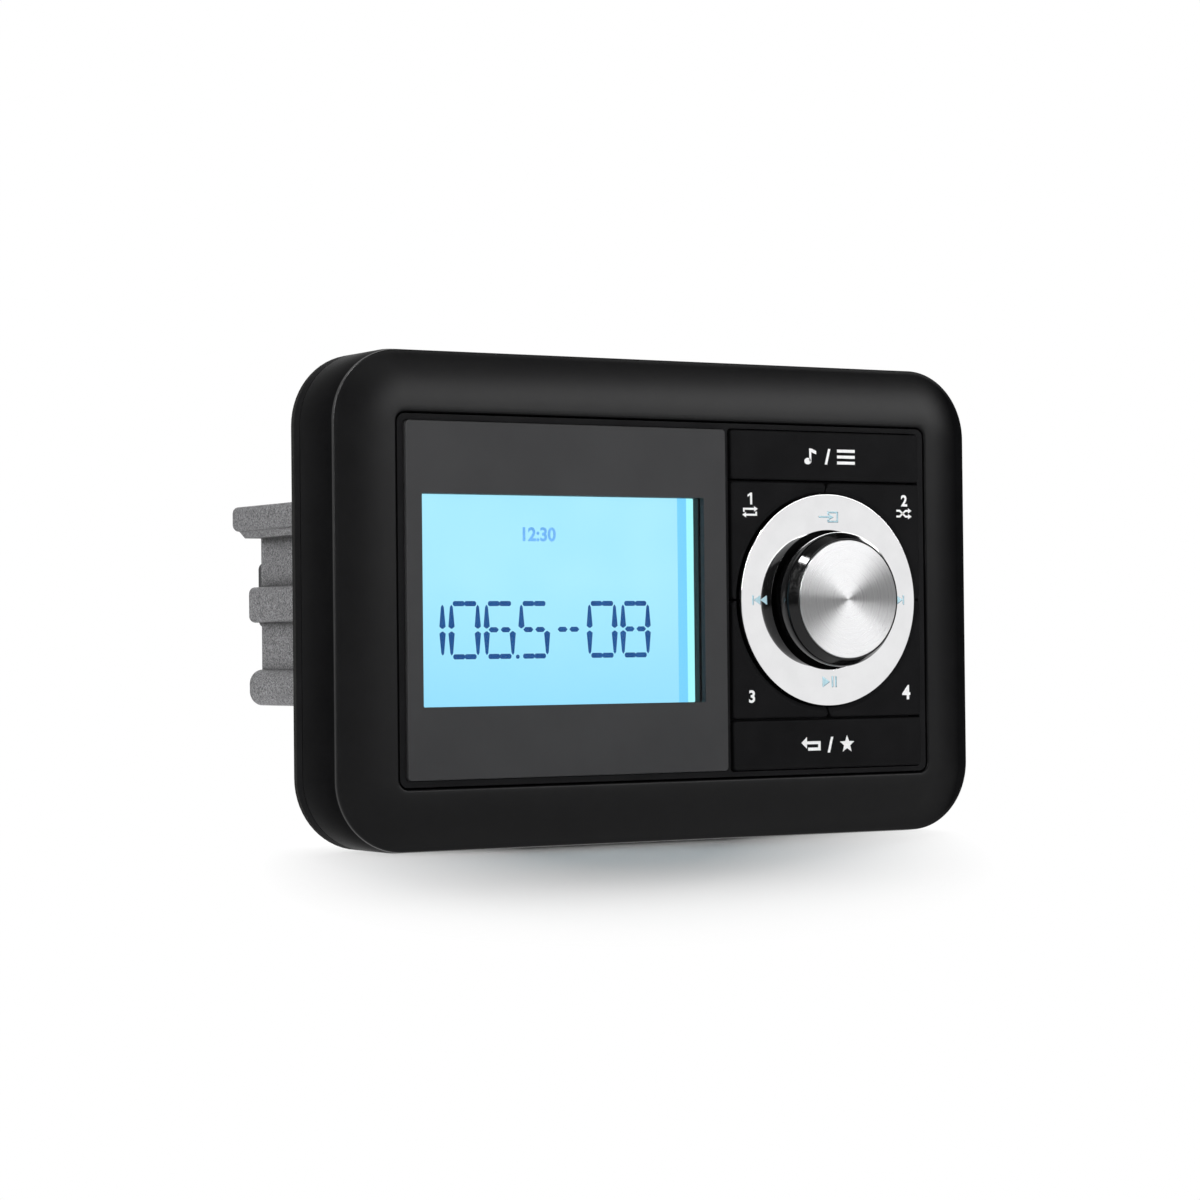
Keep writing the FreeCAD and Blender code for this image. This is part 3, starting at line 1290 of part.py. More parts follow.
def flat_cable():
    x = cable_x - CABLE_W / 2
    d = math.sqrt(0.5)
    centre_y = cable_y + CABLE_BEND_R
    centre_z = cable_z + CABLE_BEND_R

    def on_bend(radius):
        return V(x, centre_y - radius * d, centre_z - radius * d)

    outer = CABLE_BEND_R + CABLE_T / 2
    inner = CABLE_BEND_R - CABLE_T / 2
    face = outline([
        V(x, cable_y - CABLE_T / 2, cable_top_z),
        V(x, cable_y - CABLE_T / 2, centre_z),
        (on_bend(outer), V(x, centre_y, cable_z - CABLE_T / 2)),
        V(x, cable_end_y, cable_z - CABLE_T / 2),
        V(x, cable_end_y, cable_z + CABLE_T / 2),
        V(x, centre_y, cable_z + CABLE_T / 2),
        (on_bend(inner), V(x, cable_y + CABLE_T / 2, centre_z)),
        V(x, cable_y + CABLE_T / 2, cable_top_z),
    ])
    return face.extrude(V(CABLE_W, 0, 0))


# Rear plate and the sockets that come out through it

harness_end_y = rear_plate_y + HARNESS_PROUD
line_places = [line_x + i * LINE_PITCH for i in range(line_sockets_in_row)]
line_mid_x = (line_places[0] + line_places[-1]) / 2
line_half_w = (line_places[-1] - line_places[0]) / 2 + LINE_BLOCK_MARGIN


def around(x, z, half_w, half_h, y0, y1):
    return block(x - half_w, x + half_w, y0, y1, z - half_h, z + half_h)


def rear_plate():
    panel = plate(0, 0, rear_plate_half_w, sink_half_h - REAR_PLATE_INSET,
                  sink_rear_y, rear_plate_y, REAR_PLATE_R)
    y0 = sink_rear_y - OVER
    y1 = rear_plate_y + OVER
    gap = SOCKET_HOLE_GAP
    holes = [
        around(harness_x, harness_z, HARNESS_NECK_W / 2 + gap, HARNESS_NECK_H / 2 + gap, y0, y1),
        around(line_mid_x, line_z, line_half_w + gap, LINE_BLOCK_H / 2 + gap, y0, y1),
        around(fuse_x, fuse_z, fuse_holder_half_w + gap,
               FUSE_H / 2 + FUSE_HOLDER_WALL + gap, y0, y1),
        rod(AERIAL_R + gap, V(aerial_x, y0, aerial_z), Y_DIR, y1 - y0),
    ]
    for x, z in four(case_screw_x, case_screw_z):
        holes.append(rod(CASE_SCREW_R + SCREW_HOLE_GAP, V(x, y0, z), Y_DIR, y1 - y0))
    return drill(panel, holes)


def harness_socket():
    """Shroud with a deep mouth, on a neck that stands on the main board."""
    shroud = plate(harness_x, harness_z, HARNESS_W / 2, HARNESS_H / 2, rear_plate_y,
                   harness_end_y, HARNESS_R)
    neck = around(harness_x, harness_z, HARNESS_NECK_W / 2, HARNESS_NECK_H / 2,
                  rear_plate_y - HARNESS_NECK_L, rear_plate_y + HARNESS_FLOOR / 2)
    foot_y = main_board_rear_y - MAIN_BOSS_INSET_Y + SMALL_HEAD_R + SOCKET_HOLE_GAP
    foot = block(harness_x - HARNESS_NECK_W / 2, harness_x + HARNESS_NECK_W / 2, foot_y,
                 main_board_rear_y, board_top_z, harness_z)
    mouth = around(harness_x, harness_z, HARNESS_W / 2 - HARNESS_WALL,
                   HARNESS_H / 2 - HARNESS_WALL, rear_plate_y + HARNESS_FLOOR,
                   harness_end_y + OVER)
    return join([shroud, neck, foot]).cut(mouth)


def harness_pins():
    first = harness_x - HARNESS_PIN_STEP * (PINS_IN_ROW - 1) / 2
    y = rear_plate_y + HARNESS_FLOOR
    half = HARNESS_PIN_W / 2
    row = HARNESS_H / 2 - HARNESS_WALL - HARNESS_PIN_INSET
    return [around(first + i * HARNESS_PIN_STEP, harness_z + s * row, half, half,
                   y, y + HARNESS_PIN_L) for i in range(PINS_IN_ROW) for s in (-1, 1)]


def aerial_socket():
    """Metal barrel with a blind bore, on a foot that stands on the main board."""
    end_y = rear_plate_y + AERIAL_PROUD
    start_y = end_y - AERIAL_BORE_L - AERIAL_FLOOR
    barrel = rod(AERIAL_R, V(aerial_x, start_y, aerial_z), Y_DIR, end_y - start_y)
    foot = block(aerial_x - AERIAL_R / 2, aerial_x + AERIAL_R / 2,
                 main_board_rear_y - AERIAL_R / 2, main_board_rear_y, board_top_z,
                 aerial_z - AERIAL_BORE_R - (AERIAL_R - AERIAL_BORE_R) / 2)
    link = rod(AERIAL_R, V(aerial_x, main_board_rear_y - AERIAL_R / 2, aerial_z), Y_DIR,
               start_y - main_board_rear_y + AERIAL_R / 2 + BITE)
    body = join([barrel, link, foot])
    return body.cut(rod(AERIAL_BORE_R, V(aerial_x, end_y - AERIAL_BORE_L, aerial_z), Y_DIR,
                        AERIAL_BORE_L + OVER))


def line_sockets():
    """Row of round jacks on one moulded block."""
    face = rear_plate_y + LINE_BLOCK_PROUD
    base = around(line_mid_x, line_z, line_half_w, LINE_BLOCK_H / 2, rear_plate_y - LINE_BLOCK_L,
                  face)
    foot = block(line_mid_x - line_half_w, line_mid_x + line_half_w,
                 rear_plate_y - LINE_BLOCK_L, main_board_rear_y, board_top_z, line_z)
    jacks = [rod(LINE_R, V(x, face - BITE, line_z), Y_DIR, LINE_L + BITE)
             for x in line_places]
    bores = [rod(LINE_HOLE_R, V(x, face, line_z), Y_DIR, LINE_L + OVER) for x in line_places]
    return drill(join([base, foot] + jacks), bores)


def fuse_holder():
    half_w = fuse_holder_half_w
    half_h = FUSE_H / 2 + FUSE_HOLDER_WALL
    end_y = rear_plate_y + FUSE_HOLDER_PROUD
    body = around(fuse_x, fuse_z, half_w, half_h, end_y - FUSE_HOLDER_PROUD - FUSE_HOLDER_L,
                  end_y)
    foot = block(fuse_x - half_w, fuse_x + half_w, end_y - FUSE_HOLDER_PROUD - FUSE_HOLDER_L,
                 main_board_rear_y, board_top_z, fuse_z)
    slots = [around(fuse_x, fuse_z, FUSE_W / 2, FUSE_H / 2, rear_plate_y, end_y + OVER)]
    for s in (-1, 1):
        slots.append(around(fuse_x, fuse_z + s * FUSE_BLADE_PITCH / 2, FUSE_BLADE_T / 2,
                            FUSE_BLADE_W / 2, rear_plate_y - FUSE_BLADE_L, rear_plate_y + OVER))
    return drill(join([body, foot]), slots)


def blade_fuse():
    body = around(fuse_x, fuse_z, FUSE_W / 2, FUSE_H / 2, rear_plate_y, rear_plate_y + FUSE_PROUD)
    blades = [around(fuse_x, fuse_z + s * FUSE_BLADE_PITCH / 2, FUSE_BLADE_T / 2,
                     FUSE_BLADE_W / 2, rear_plate_y - FUSE_BLADE_L, rear_plate_y + BITE)
              for s in (-1, 1)]
    return join([body] + blades)


# Screws


def board_screws():
    """Screws of the front board and of the main board."""
    front = [screw(SMALL_HEAD_R, SMALL_HEAD_H, SMALL_SCREW_R, SMALL_SCREW_L,
                   V(x, board_back_y, z), -Y_DIR) for x, z in board_boss_places()]
    main = [screw(SMALL_HEAD_R, SMALL_HEAD_H, SMALL_SCREW_R, SMALL_SCREW_L,
                  V(x, y, board_top_z), -Z_DIR) for x, y in main_boss_places()]
    return front + main


def case_screws():
    """Screws that go into the casting: through the flange, the rear plate and the clamp."""
    seats = [(V(x, flange_front_y, z), Y_DIR) for x, z in four(case_screw_x, case_screw_z)]
    seats += [(V(x, rear_plate_y, z), -Y_DIR) for x, z in four(case_screw_x, case_screw_z)]
    seats += [(V(clamp_x, y, clamp_z), X_DIR) for y in clamp_screw_places()]
    return [screw(CASE_HEAD_R, CASE_HEAD_H, CASE_SCREW_R, CASE_SCREW_L, seat, way)
            for seat, way in seats]


def housing_screws():
    return [screw(CASE_HEAD_R, CASE_HEAD_H, CASE_SCREW_R, LUG_SCREW_L,
                  V(x, flange_front_y - LUG_T, z), Y_DIR) for x, z in lug_places()]


os.makedirs("parts", exist_ok=True)

save("front_trim", front_trim())
save("mounting_flange", mounting_flange())
save("panel_gasket", panel_gasket())
save("front_housing", front_housing())
save("display_fascia", display_fascia())
save("display_window", display_window())
save("fascia_tape", fascia_tape())
save("lcd_holder", lcd_holder())
save("lcd_glass", lcd_glass())
save("lcd_contact_strips", *lcd_contact_strips())
save("light_guide", light_guide())
save("backlight_leds", *backlight_leds())
save("front_board", front_board())
save("tact_switches", *tact_switches())
save("ring_switch_buttons", *[button(x, z, BUTTON_DEPTH + KEY_TRAVEL + BUTTON_ROOM)
                              for x, z in POSTS])
for name, key in KEYS.items():
    save(name, key_cap(key))
    save(name + "_button", button(*key["stem"], BUTTON_DEPTH))
save("ring_face", ring_face())
save("ring_base", ring_base())
save("ring_gimbal", ring_gimbal())
save("encoder_case", encoder_case())
save("encoder_bushing", encoder_bushing())
save("encoder_washer", encoder_washer())
save("encoder_nut", encoder_nut())
save("encoder_shaft", encoder_shaft())
save("encoder_plunger", encoder_plunger())
save("knob_body", knob_body())
save("knob_cap", knob_cap())
save("heat_sink", heat_sink())
save("chassis_seal", chassis_seal())
save("main_board", main_board())
save("amplifier_chip", amplifier_chip())
save("thermal_pad", thermal_pad())
save("chip_clamp", chip_clamp())
save("capacitors", *capacitors())
save("choke_coil", choke_coil())
save("tuner_module", tuner_module())
save("wireless_module", wireless_module())
save("cable_sockets", *cable_sockets())
save("flat_cable", flat_cable())
save("rear_plate", rear_plate())
save("harness_socket", harness_socket())
save("harness_pins", *harness_pins())
save("aerial_socket", aerial_socket())
save("line_sockets", line_sockets())
save("fuse_holder", fuse_holder())
save("blade_fuse", blade_fuse())
save("board_screws", *board_screws())
save("case_screws", *case_screws())
save("housing_screws", *housing_screws())
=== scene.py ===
import math

import bmesh
import bpy
from mathutils import Matrix, Vector


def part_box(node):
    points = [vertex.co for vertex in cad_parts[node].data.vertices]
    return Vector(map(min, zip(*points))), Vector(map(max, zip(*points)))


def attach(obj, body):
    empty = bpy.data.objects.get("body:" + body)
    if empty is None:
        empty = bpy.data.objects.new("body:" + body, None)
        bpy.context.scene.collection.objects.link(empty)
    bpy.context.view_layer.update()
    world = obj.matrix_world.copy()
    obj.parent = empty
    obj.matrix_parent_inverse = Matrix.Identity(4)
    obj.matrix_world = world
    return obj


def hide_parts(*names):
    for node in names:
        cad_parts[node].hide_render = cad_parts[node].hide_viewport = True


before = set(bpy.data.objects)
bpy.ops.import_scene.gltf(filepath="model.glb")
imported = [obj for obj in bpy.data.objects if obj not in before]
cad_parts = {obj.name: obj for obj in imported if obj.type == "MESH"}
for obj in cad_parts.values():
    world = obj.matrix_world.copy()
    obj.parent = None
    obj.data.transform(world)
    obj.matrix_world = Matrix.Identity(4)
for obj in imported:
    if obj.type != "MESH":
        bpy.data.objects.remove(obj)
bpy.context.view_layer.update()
scene = bpy.context.scene
scene.view_settings.view_transform = "Standard"


# Camera on a long lens, to the left of the stereo and a little below its middle. It stands
# where the photograph was taken from, worked out from the edges of the face.

CAMERA_PLACE = (-0.3567, -0.5777, -0.0100)
CAMERA_LENS = 99.11
# Upright and looking into the depth, then turned right, tipped up and rolled, in degrees.
CAMERA_TURNS = (("X", 90.0), ("Y", -31.32), ("X", 0.88), ("Z", -0.59))

camera_data = bpy.data.cameras.new("camera")
camera_data.lens = CAMERA_LENS
camera_data.sensor_width = 36.0
camera_data.clip_start = 0.02
camera = bpy.data.objects.new("camera", camera_data)
scene.collection.objects.link(camera)
camera_pose = Matrix.Translation(CAMERA_PLACE)
for axis, degrees in CAMERA_TURNS:
    camera_pose = camera_pose @ Matrix.Rotation(math.radians(degrees), 4, axis)
camera.matrix_world = camera_pose
scene.camera = camera


# Heat sink: one aluminium casting with ribs that run front to back, as it comes from the die
# and the shot blast. The flange and the rear plate are screwed to its two open ends.


def colour(red, green, blue):
    """Colour from its values on a screen, 0 to 255."""
    parts = [c / 255 for c in (red, green, blue)]
    return tuple(c / 12.92 if c <= 0.04045 else ((c + 0.055) / 1.055) ** 2.4
                 for c in parts) + (1.0,)


def start_finish(name):
    """New finish, with its shader and the place on the piece that its patterns read."""
    finish = bpy.data.materials.new(name)
    finish.use_nodes = True
    tree = finish.node_tree
    place = tree.nodes.new("ShaderNodeTexCoord").outputs["Object"]
    return finish, tree, tree.nodes["Principled BSDF"], place


def moved(tree, place, offset=(0, 0, 0), scale=(1, 1, 1)):
    """The same places, moved and then squeezed along the axes."""
    node = tree.nodes.new("ShaderNodeMapping")
    node.vector_type = "POINT"
    node.inputs["Location"].default_value = [o * s for o, s in zip(offset, scale)]
    node.inputs["Scale"].default_value = scale
    tree.links.new(place, node.inputs["Vector"])
    return node.outputs["Vector"]


def specks(tree, place, size, detail=2.0):
    """Noise whose specks are about that size across, in metres."""
    node = tree.nodes.new("ShaderNodeTexNoise")
    node.inputs["Scale"].default_value = 1 / size
    node.inputs["Detail"].default_value = detail
    tree.links.new(place, node.inputs["Vector"])
    return node.outputs["Fac"]


def ranged(tree, value, start, end, low=0.0, high=1.0):
    """A value from start to end, turned into one from low to high."""
    node = tree.nodes.new("ShaderNodeMapRange")
    limits = {"From Min": start, "From Max": end, "To Min": low, "To Max": high}
    for name, number in limits.items():
        node.inputs[name].default_value = number
    tree.links.new(value, node.inputs["Value"])
    return node.outputs["Result"]


def spread(tree, noise, low=0.0, high=1.0):
    """Noise, which hardly leaves 0.3 to 0.7, spread out from low to high."""
    return ranged(tree, noise, 0.3, 0.7, low, high)


def tinted(tree, value, first, second):
    """Colour between two others, by a value from 0 to 1. Either may be another output."""
    node = tree.nodes.new("ShaderNodeMix")
    node.data_type = "RGBA"
    tree.links.new(value, node.inputs[0])
    # Sockets 6 and 7 are its colours, after those for numbers and for vectors.
    for socket, tone in ((node.inputs[6], first), (node.inputs[7], second)):
        if isinstance(tone, bpy.types.NodeSocket):
            tree.links.new(tone, socket)
        else:
            socket.default_value = tone
    return node.outputs[2]


def painted(tree, shader, tone, roughness):
    """Joins a colour and a roughness, both of which vary over the piece, to the shader."""
    tree.links.new(tone, shader.inputs["Base Color"])
    tree.links.new(roughness, shader.inputs["Roughness"])


def embossed(tree, shader, height, depth):
    """Raises the surface by up to that depth, in metres, where the height is 1."""
    node = tree.nodes.new("ShaderNodeBump")
    node.inputs["Distance"].default_value = depth
    tree.links.new(height, node.inputs["Height"])
    tree.links.new(node.outputs["Normal"], shader.inputs["Normal"])


def fit_piece(name, mesh, finish, body="root", stands_for=()):
    """Puts a finished mesh on the stereo as one piece that rides on a body."""
    mesh.name = name
    mesh.materials.clear()
    mesh.materials.append(finish)
    piece = bpy.data.objects.new(name, mesh)
    scene.collection.objects.link(piece)
    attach(piece, body)
    if stands_for:
        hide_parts(*stands_for)


def carried(data):
    """Passing object that carries a mesh or letters while they are worked on."""
    carrier = bpy.data.objects.new("carrier", data)
    scene.collection.objects.link(carrier)
    return carrier


def plain_mesh(piece):
    """The piece's shape with its modifiers worked out."""
    bpy.context.view_layer.update()
    return bpy.data.meshes.new_from_object(
        piece.evaluated_get(bpy.context.evaluated_depsgraph_get()))


def smooth_below(mesh, angle):
    """Shades the mesh smooth, except along edges that turn by more than the angle."""
    mesh.polygons.foreach_set("use_smooth", [True] * len(mesh.polygons))
    mesh.set_sharp_from_angle(angle=math.radians(angle))


def levelled(carrier, angle):
    """The carrier's finished mesh, smooth up to an angle, with its flat faces shaded flat."""
    smooth_below(carrier.data, angle)
    level = carrier.modifiers.new("level", "WEIGHTED_NORMAL")
    level.keep_sharp = True
    result = plain_mesh(carrier)
    bpy.data.objects.remove(carrier)
    return result


# Points closer than this, in metres, become one. Edges that turn by less than the flat angle
# are dropped and those that turn by more than the sharp one are rounded, in degrees.
MERGE_DISTANCE = 2e-6
FLAT_ANGLE = 0.4
SHARP_ANGLE = 38.0


def softened(node, width, steps):
    """The CAD shape of a node with all its sharp edges broken by a small round."""
    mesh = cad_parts[node].data.copy()
    shape = bmesh.new()
    shape.from_mesh(mesh)
    bmesh.ops.remove_doubles(shape, verts=shape.verts, dist=MERGE_DISTANCE)
    bmesh.ops.dissolve_limit(shape, angle_limit=math.radians(FLAT_ANGLE), verts=shape.verts,
                             edges=shape.edges)
    shape.to_mesh(mesh)
    shape.free()
    carrier = carried(mesh)
    edge = carrier.modifiers.new("edge", "BEVEL")
    edge.width = width
    edge.segments = steps
    edge.limit_method = "ANGLE"
    edge.angle_limit = math.radians(SHARP_ANGLE)
    return levelled(carrier, SHARP_ANGLE)


def fit_softened(name, node, width, finish, body="root", steps=2):
    """Shows a node's own shape with softened edges, in place of the plain one."""
    fit_piece(name, softened(node, width, steps), finish, body, [node])


def cast_aluminium():
    """Grey metal with a sandy grain, and painted shade that darkens its inner corners."""
    finish, tree, shader, place = start_finish("cast_aluminium")
    grain = specks(tree, place, 0.00032, 4.0)
    pits = specks(tree, place, 0.0012, 2.0)
    cloud = specks(tree, place, 0.012, 2.0)
    tone = tinted(tree, ranged(tree, grain, 0.36, 0.64), colour(60, 60, 61),
                  colour(144, 144, 146))
    tone = tinted(tree, spread(tree, cloud, 0.0, 0.25), tone, colour(92, 92, 94))
    # Painted shade: an occlusion node darkens the inner corners between the ribs and webs.
    corners = tree.nodes.new("ShaderNodeAmbientOcclusion")
    corners.only_local = True
    corners.samples = 8
    corners.inputs["Distance"].default_value = 0.0035
    tone = tinted(tree, ranged(tree, corners.outputs["AO"], 0.45, 0.95, 0.85, 0.0), tone,
                  colour(30, 30, 31))
    painted(tree, shader, tone, spread(tree, pits, 0.5, 0.72))
    shader.inputs["Metallic"].default_value = 0.35
    embossed(tree, shader, grain, 0.0001)
    return finish


fit_softened("heat_sink_casting", "heat_sink", 0.0003, cast_aluminium(),
             steps=3)


# Seal between the casting's front end and the flange: a flat frame of foam rubber, die cut from
# sheet and pressed together as the two are screwed to each other.


def moulded(name, dark, light, rough, grain, depth, gloss=0.2):
    """Plastic or rubber with a fine texture from its mould, in two near tones."""
    finish, tree, shader, place = start_finish(name)
    fine = specks(tree, place, grain, 3.0)
    broad = specks(tree, place, grain * 30, 2.0)
    painted(tree, shader, tinted(tree, spread(tree, broad), dark, light),
            spread(tree, fine, rough - 0.06, rough + 0.06))
    shader.inputs["Specular IOR Level"].default_value = gloss
    embossed(tree, shader, fine, depth)
    return finish


def wear(finish, *nodes):
    """Gives CAD pieces their finish in place of the one they came with."""
    for node in nodes:
        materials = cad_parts[node].data.materials
        for index in range(len(materials)):
            materials[index] = finish


foam_rubber = moulded("foam_rubber", colour(24, 24, 24), colour(36, 36, 35), 0.85, 0.0006,
                      0.00008, 0.1)
wear(foam_rubber, "chassis_seal")


# Main board: glass fibre with a green solder mask over its copper tracks. It stands on four
# bosses of the casting.


def solder_mask():
    """Green varnish with rows of tracks showing through."""
    finish, tree, shader, place = start_finish("solder_mask")
    tracks = tree.nodes.new("ShaderNodeTexBrick")
    tracks.inputs["Scale"].default_value = 180.0
    tracks.inputs["Mortar Size"].default_value = 0.06
    tracks.inputs["Color1"].default_value = colour(18, 78, 44)
    tracks.inputs["Color2"].default_value = colour(14, 68, 38)
    tracks.inputs["Mortar"].default_value = colour(58, 132, 74)
    tree.links.new(place, tracks.inputs["Vector"])
    weave = specks(tree, place, 0.0008, 2.0)
    tone = tinted(tree, spread(tree, weave, 0.0, 0.4), tracks.outputs["Color"],
                  colour(12, 60, 34))
    painted(tree, shader, tone, spread(tree, weave, 0.25, 0.4))
    embossed(tree, shader, tracks.outputs["Fac"], 0.00003)
    return finish


solder_mask_green = solder_mask()
wear(solder_mask_green, "main_board")


# Amplifier chip in black resin, the grey silicone pad that leads its heat into the casting, and
# the bent steel clamp, zinc plated, whose two screws press both against it.


def plated(name, dark, light, rough, grain):
    """Plated or drawn metal, a little uneven in tone and in shine."""
    finish, tree, shader, place = start_finish(name)
    cloud = specks(tree, place, grain, 3.0)
    fine = specks(tree, place, grain / 6, 2.0)
    painted(tree, shader, tinted(tree, spread(tree, cloud), dark, light),
            spread(tree, fine, rough - 0.08, rough + 0.08))
    shader.inputs["Metallic"].default_value = 1.0
    embossed(tree, shader, fine, 0.00001)
    return finish


epoxy_black = moulded("epoxy_black", colour(28, 28, 30), colour(38, 38, 40), 0.5, 0.0003, 0.00002)
silicone_grey = moulded("silicone_grey", colour(150, 150, 152), colour(172, 172, 174), 0.6,
                        0.0004, 0.00002)
zinc_plate = plated("zinc_plate", colour(176, 178, 180), colour(206, 207, 206), 0.32, 0.002)
wear(epoxy_black, "amplifier_chip")
wear(silicone_grey, "thermal_pad")
wear(zinc_plate, "chip_clamp")


# Smoothing capacitors in drawn aluminium cans, and a choke coil wound with enamelled copper
# wire. Both are soldered to the main board.

COIL_MIDDLE = Vector((-0.032, 0.013, -0.003))


def wound_copper():
    """Copper wire in close turns round the coil's middle."""
    finish, tree, shader, place = start_finish("wound_copper")
    turns = tree.nodes.new("ShaderNodeTexWave")
    turns.wave_type = "RINGS"
    turns.rings_direction = "Y"
    turns.inputs["Scale"].default_value = 900.0
    turns.inputs["Distortion"].default_value = 1.0
    tree.links.new(moved(tree, place, offset=-COIL_MIDDLE), turns.inputs["Vector"])
    height = turns.outputs["Fac"]
    painted(tree, shader, tinted(tree, height, colour(96, 42, 18), colour(206, 116, 62)),
            ranged(tree, height, 0.0, 1.0, 0.45, 0.25))
    shader.inputs["Metallic"].default_value = 0.9
    embossed(tree, shader, height, 0.0002)
    return finish


wear(plated("drawn_can", colour(178, 181, 186), colour(204, 206, 210), 0.3, 0.003), "capacitors")
wear(wound_copper(), "choke_coil")


# Tuner and wireless modules in tinned screening cans, and the flat cable to the front board,
# which is pressed into a socket at each end.

tinned_can = plated("tinned_can", colour(186, 187, 184), colour(212, 213, 210), 0.26, 0.0015)
nylon_white = moulded("nylon_white", colour(214, 212, 204), colour(230, 229, 222), 0.45, 0.0004,
                      0.00002, 0.4)
wear(tinned_can, "tuner_module", "wireless_module")
wear(nylon_white, "cable_sockets", "flat_cable")


# Rear plate: sheet steel, punched and powder coated. It is screwed over the casting's back end,
# and the sockets come out through it.


def powder_coat():
    """Dark coat of melted powder, with its slight orange peel."""
    finish, tree, shader, place = start_finish("powder_coat")
    peel = specks(tree, place, 0.0007, 2.0)
    dust = specks(tree, place, 0.00018, 2.0)
    tone = tinted(tree, ranged(tree, dust, 0.35, 0.65), colour(30, 30, 32), colour(44, 44, 46))
    painted(tree, shader, tone, spread(tree, peel, 0.42, 0.6))
    shader.inputs["Specular IOR Level"].default_value = 0.3
    embossed(tree, shader, peel, 0.00008)
    return finish


fit_softened("rear_plate_steel", "rear_plate", 0.0002, powder_coat())


# Harness socket with its two rows of pins, aerial socket, line sockets, and the fuse in its
# holder. All of them are soldered to the main board.


def start_tree(name, sizes, counts=()):
    """New node tree with a named input for each size and count, and one for the finish."""
    tree = bpy.data.node_groups.new(name, "GeometryNodeTree")
    kinds = ([("Geometry", "NodeSocketGeometry")]
             + [(label, "NodeSocketFloat") for label in sizes]
             + [(label, "NodeSocketInt") for label in counts]
             + [("Finish", "NodeSocketMaterial")])
    for label, kind in kinds:
        tree.interface.new_socket(label, in_out="INPUT", socket_type=kind)
    tree.interface.new_socket("Geometry", in_out="OUTPUT", socket_type="NodeSocketGeometry")
    return tree, tree.nodes.new("NodeGroupInput").outputs


def step(tree, kind, inputs, **settings):
    """Adds a node to a tree. Each input is set to a value or joined to another output."""
    node = tree.nodes.new("GeometryNode" + kind if hasattr(bpy.types, "GeometryNode" + kind)
                          else kind)
    for key, value in settings.items():
        setattr(node, key, value)
    for name, value in inputs.items():
        if isinstance(value, bpy.types.NodeSocket):
            tree.links.new(value, node.inputs[name])
        else:
            node.inputs[name].default_value = value
    return node.outputs


def sums(tree, operation, first, *others):
    """A sum on two numbers or, taken in turn, on more. Each may be another output."""
    for other in others:
        first = step(tree, "ShaderNodeMath", {0: first, 1: other}, operation=operation)[0]
    return first


def vector(tree, x=0.0, y=0.0, z=0.0):
    """Three numbers as one place or size. Each may be another output."""
    return step(tree, "ShaderNodeCombineXYZ", {"X": x, "Y": y, "Z": z})[0]


def together(tree, parts):
    """Joins several outputs into one geometry."""
    node = tree.nodes.new("GeometryNodeJoinGeometry")
    for part in parts:
        tree.links.new(part, node.inputs[0])
    return node.outputs[0]


def end_tree(tree, given, geometry):
    """Makes every copy real and puts the finish on it."""
    real = step(tree, "RealizeInstances", {"Geometry": geometry})[0]
    done = step(tree, "SetMaterial", {"Geometry": real, "Material": given["Finish"]})[0]
    tree.links.new(done, tree.nodes.new("NodeGroupOutput").inputs[0])


def grown(tree, settings, start=None):
    """The mesh that a node tree makes from its settings and from a mesh to start with."""
    carrier = carried(start or bpy.data.meshes.new("start"))
    maker = carrier.modifiers.new("maker", "NODES")
    maker.node_group = tree
    for item in tree.interface.items_tree:
        if item.in_out == "INPUT" and item.name in settings:
            maker[item.identifier] = settings[item.name]
    mesh = plain_mesh(carrier)
    bpy.data.objects.remove(carrier)
    return mesh


def pin_rows():
    """Two rows of square pins that stick out of the middle of the harness socket."""
    tree, given = start_tree("pin_rows", ["Step", "Row height", "Pin width", "Pin length"],
                             ["Pins"])
    line = step(tree, "MeshLine", {"Count": given["Pins"],
                                   "Offset": vector(tree, x=given["Step"])})[0]
    rows = []
    for side in (0.5, -0.5):
        height = sums(tree, "MULTIPLY", given["Row height"], side)
        rows.append(step(tree, "SetPosition", {"Geometry": line,
                                               "Offset": vector(tree, z=height)})[0])
    size = vector(tree, given["Pin width"], given["Pin length"], given["Pin width"])
    pin = step(tree, "MeshCube", {"Size": size})[0]
    pins = step(tree, "InstanceOnPoints", {"Points": together(tree, rows), "Instance": pin})[0]
    end_tree(tree, given, pins)
    return tree


PINS_IN_ROW = 7
PIN_WIDTH = 0.0008

brass = plated("bright_brass", colour(186, 148, 74), colour(218, 184, 108), 0.24, 0.001)
pins_low, pins_high = [Vector(corner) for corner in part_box("harness_pins")]
pins_size = pins_high - pins_low
pins_middle = (pins_low + pins_high) / 2
pins_mesh = grown(pin_rows(), {"Pins": PINS_IN_ROW,
                               "Step": (pins_size.x - PIN_WIDTH) / (PINS_IN_ROW - 1),
                               "Row height": pins_size.z - PIN_WIDTH,
                               "Pin width": PIN_WIDTH, "Pin length": pins_size.y,
                               "Finish": brass})
pins_mesh.transform(Matrix.Translation((pins_low.x + PIN_WIDTH / 2, pins_middle.y,
                                        pins_middle.z)))
fit_piece("harness_pin_rows", pins_mesh, brass, stands_for=["harness_pins"])

socket_black = moulded("socket_black", colour(30, 30, 32), colour(42, 42, 44), 0.42, 0.0004,
                       0.00003)
for node in ("harness_socket", "line_sockets", "fuse_holder"):
    fit_softened(node + "_shell", node, 0.00012, socket_black)
fit_softened("aerial_barrel", "aerial_socket", 0.00015, brass)


def tinted_fuse():
    """Blue plastic that lets a little light through, streaked along its length."""
    finish, tree, shader, place = start_finish("tinted_fuse")
    streaks = specks(tree, moved(tree, place, scale=(1, 0.2, 1)), 0.001, 2.0)
    painted(tree, shader, tinted(tree, streaks, colour(34, 92, 190), colour(70, 132, 222)),
            spread(tree, streaks, 0.1, 0.2))
    shader.inputs["Alpha"].default_value = 0.9
    return finish


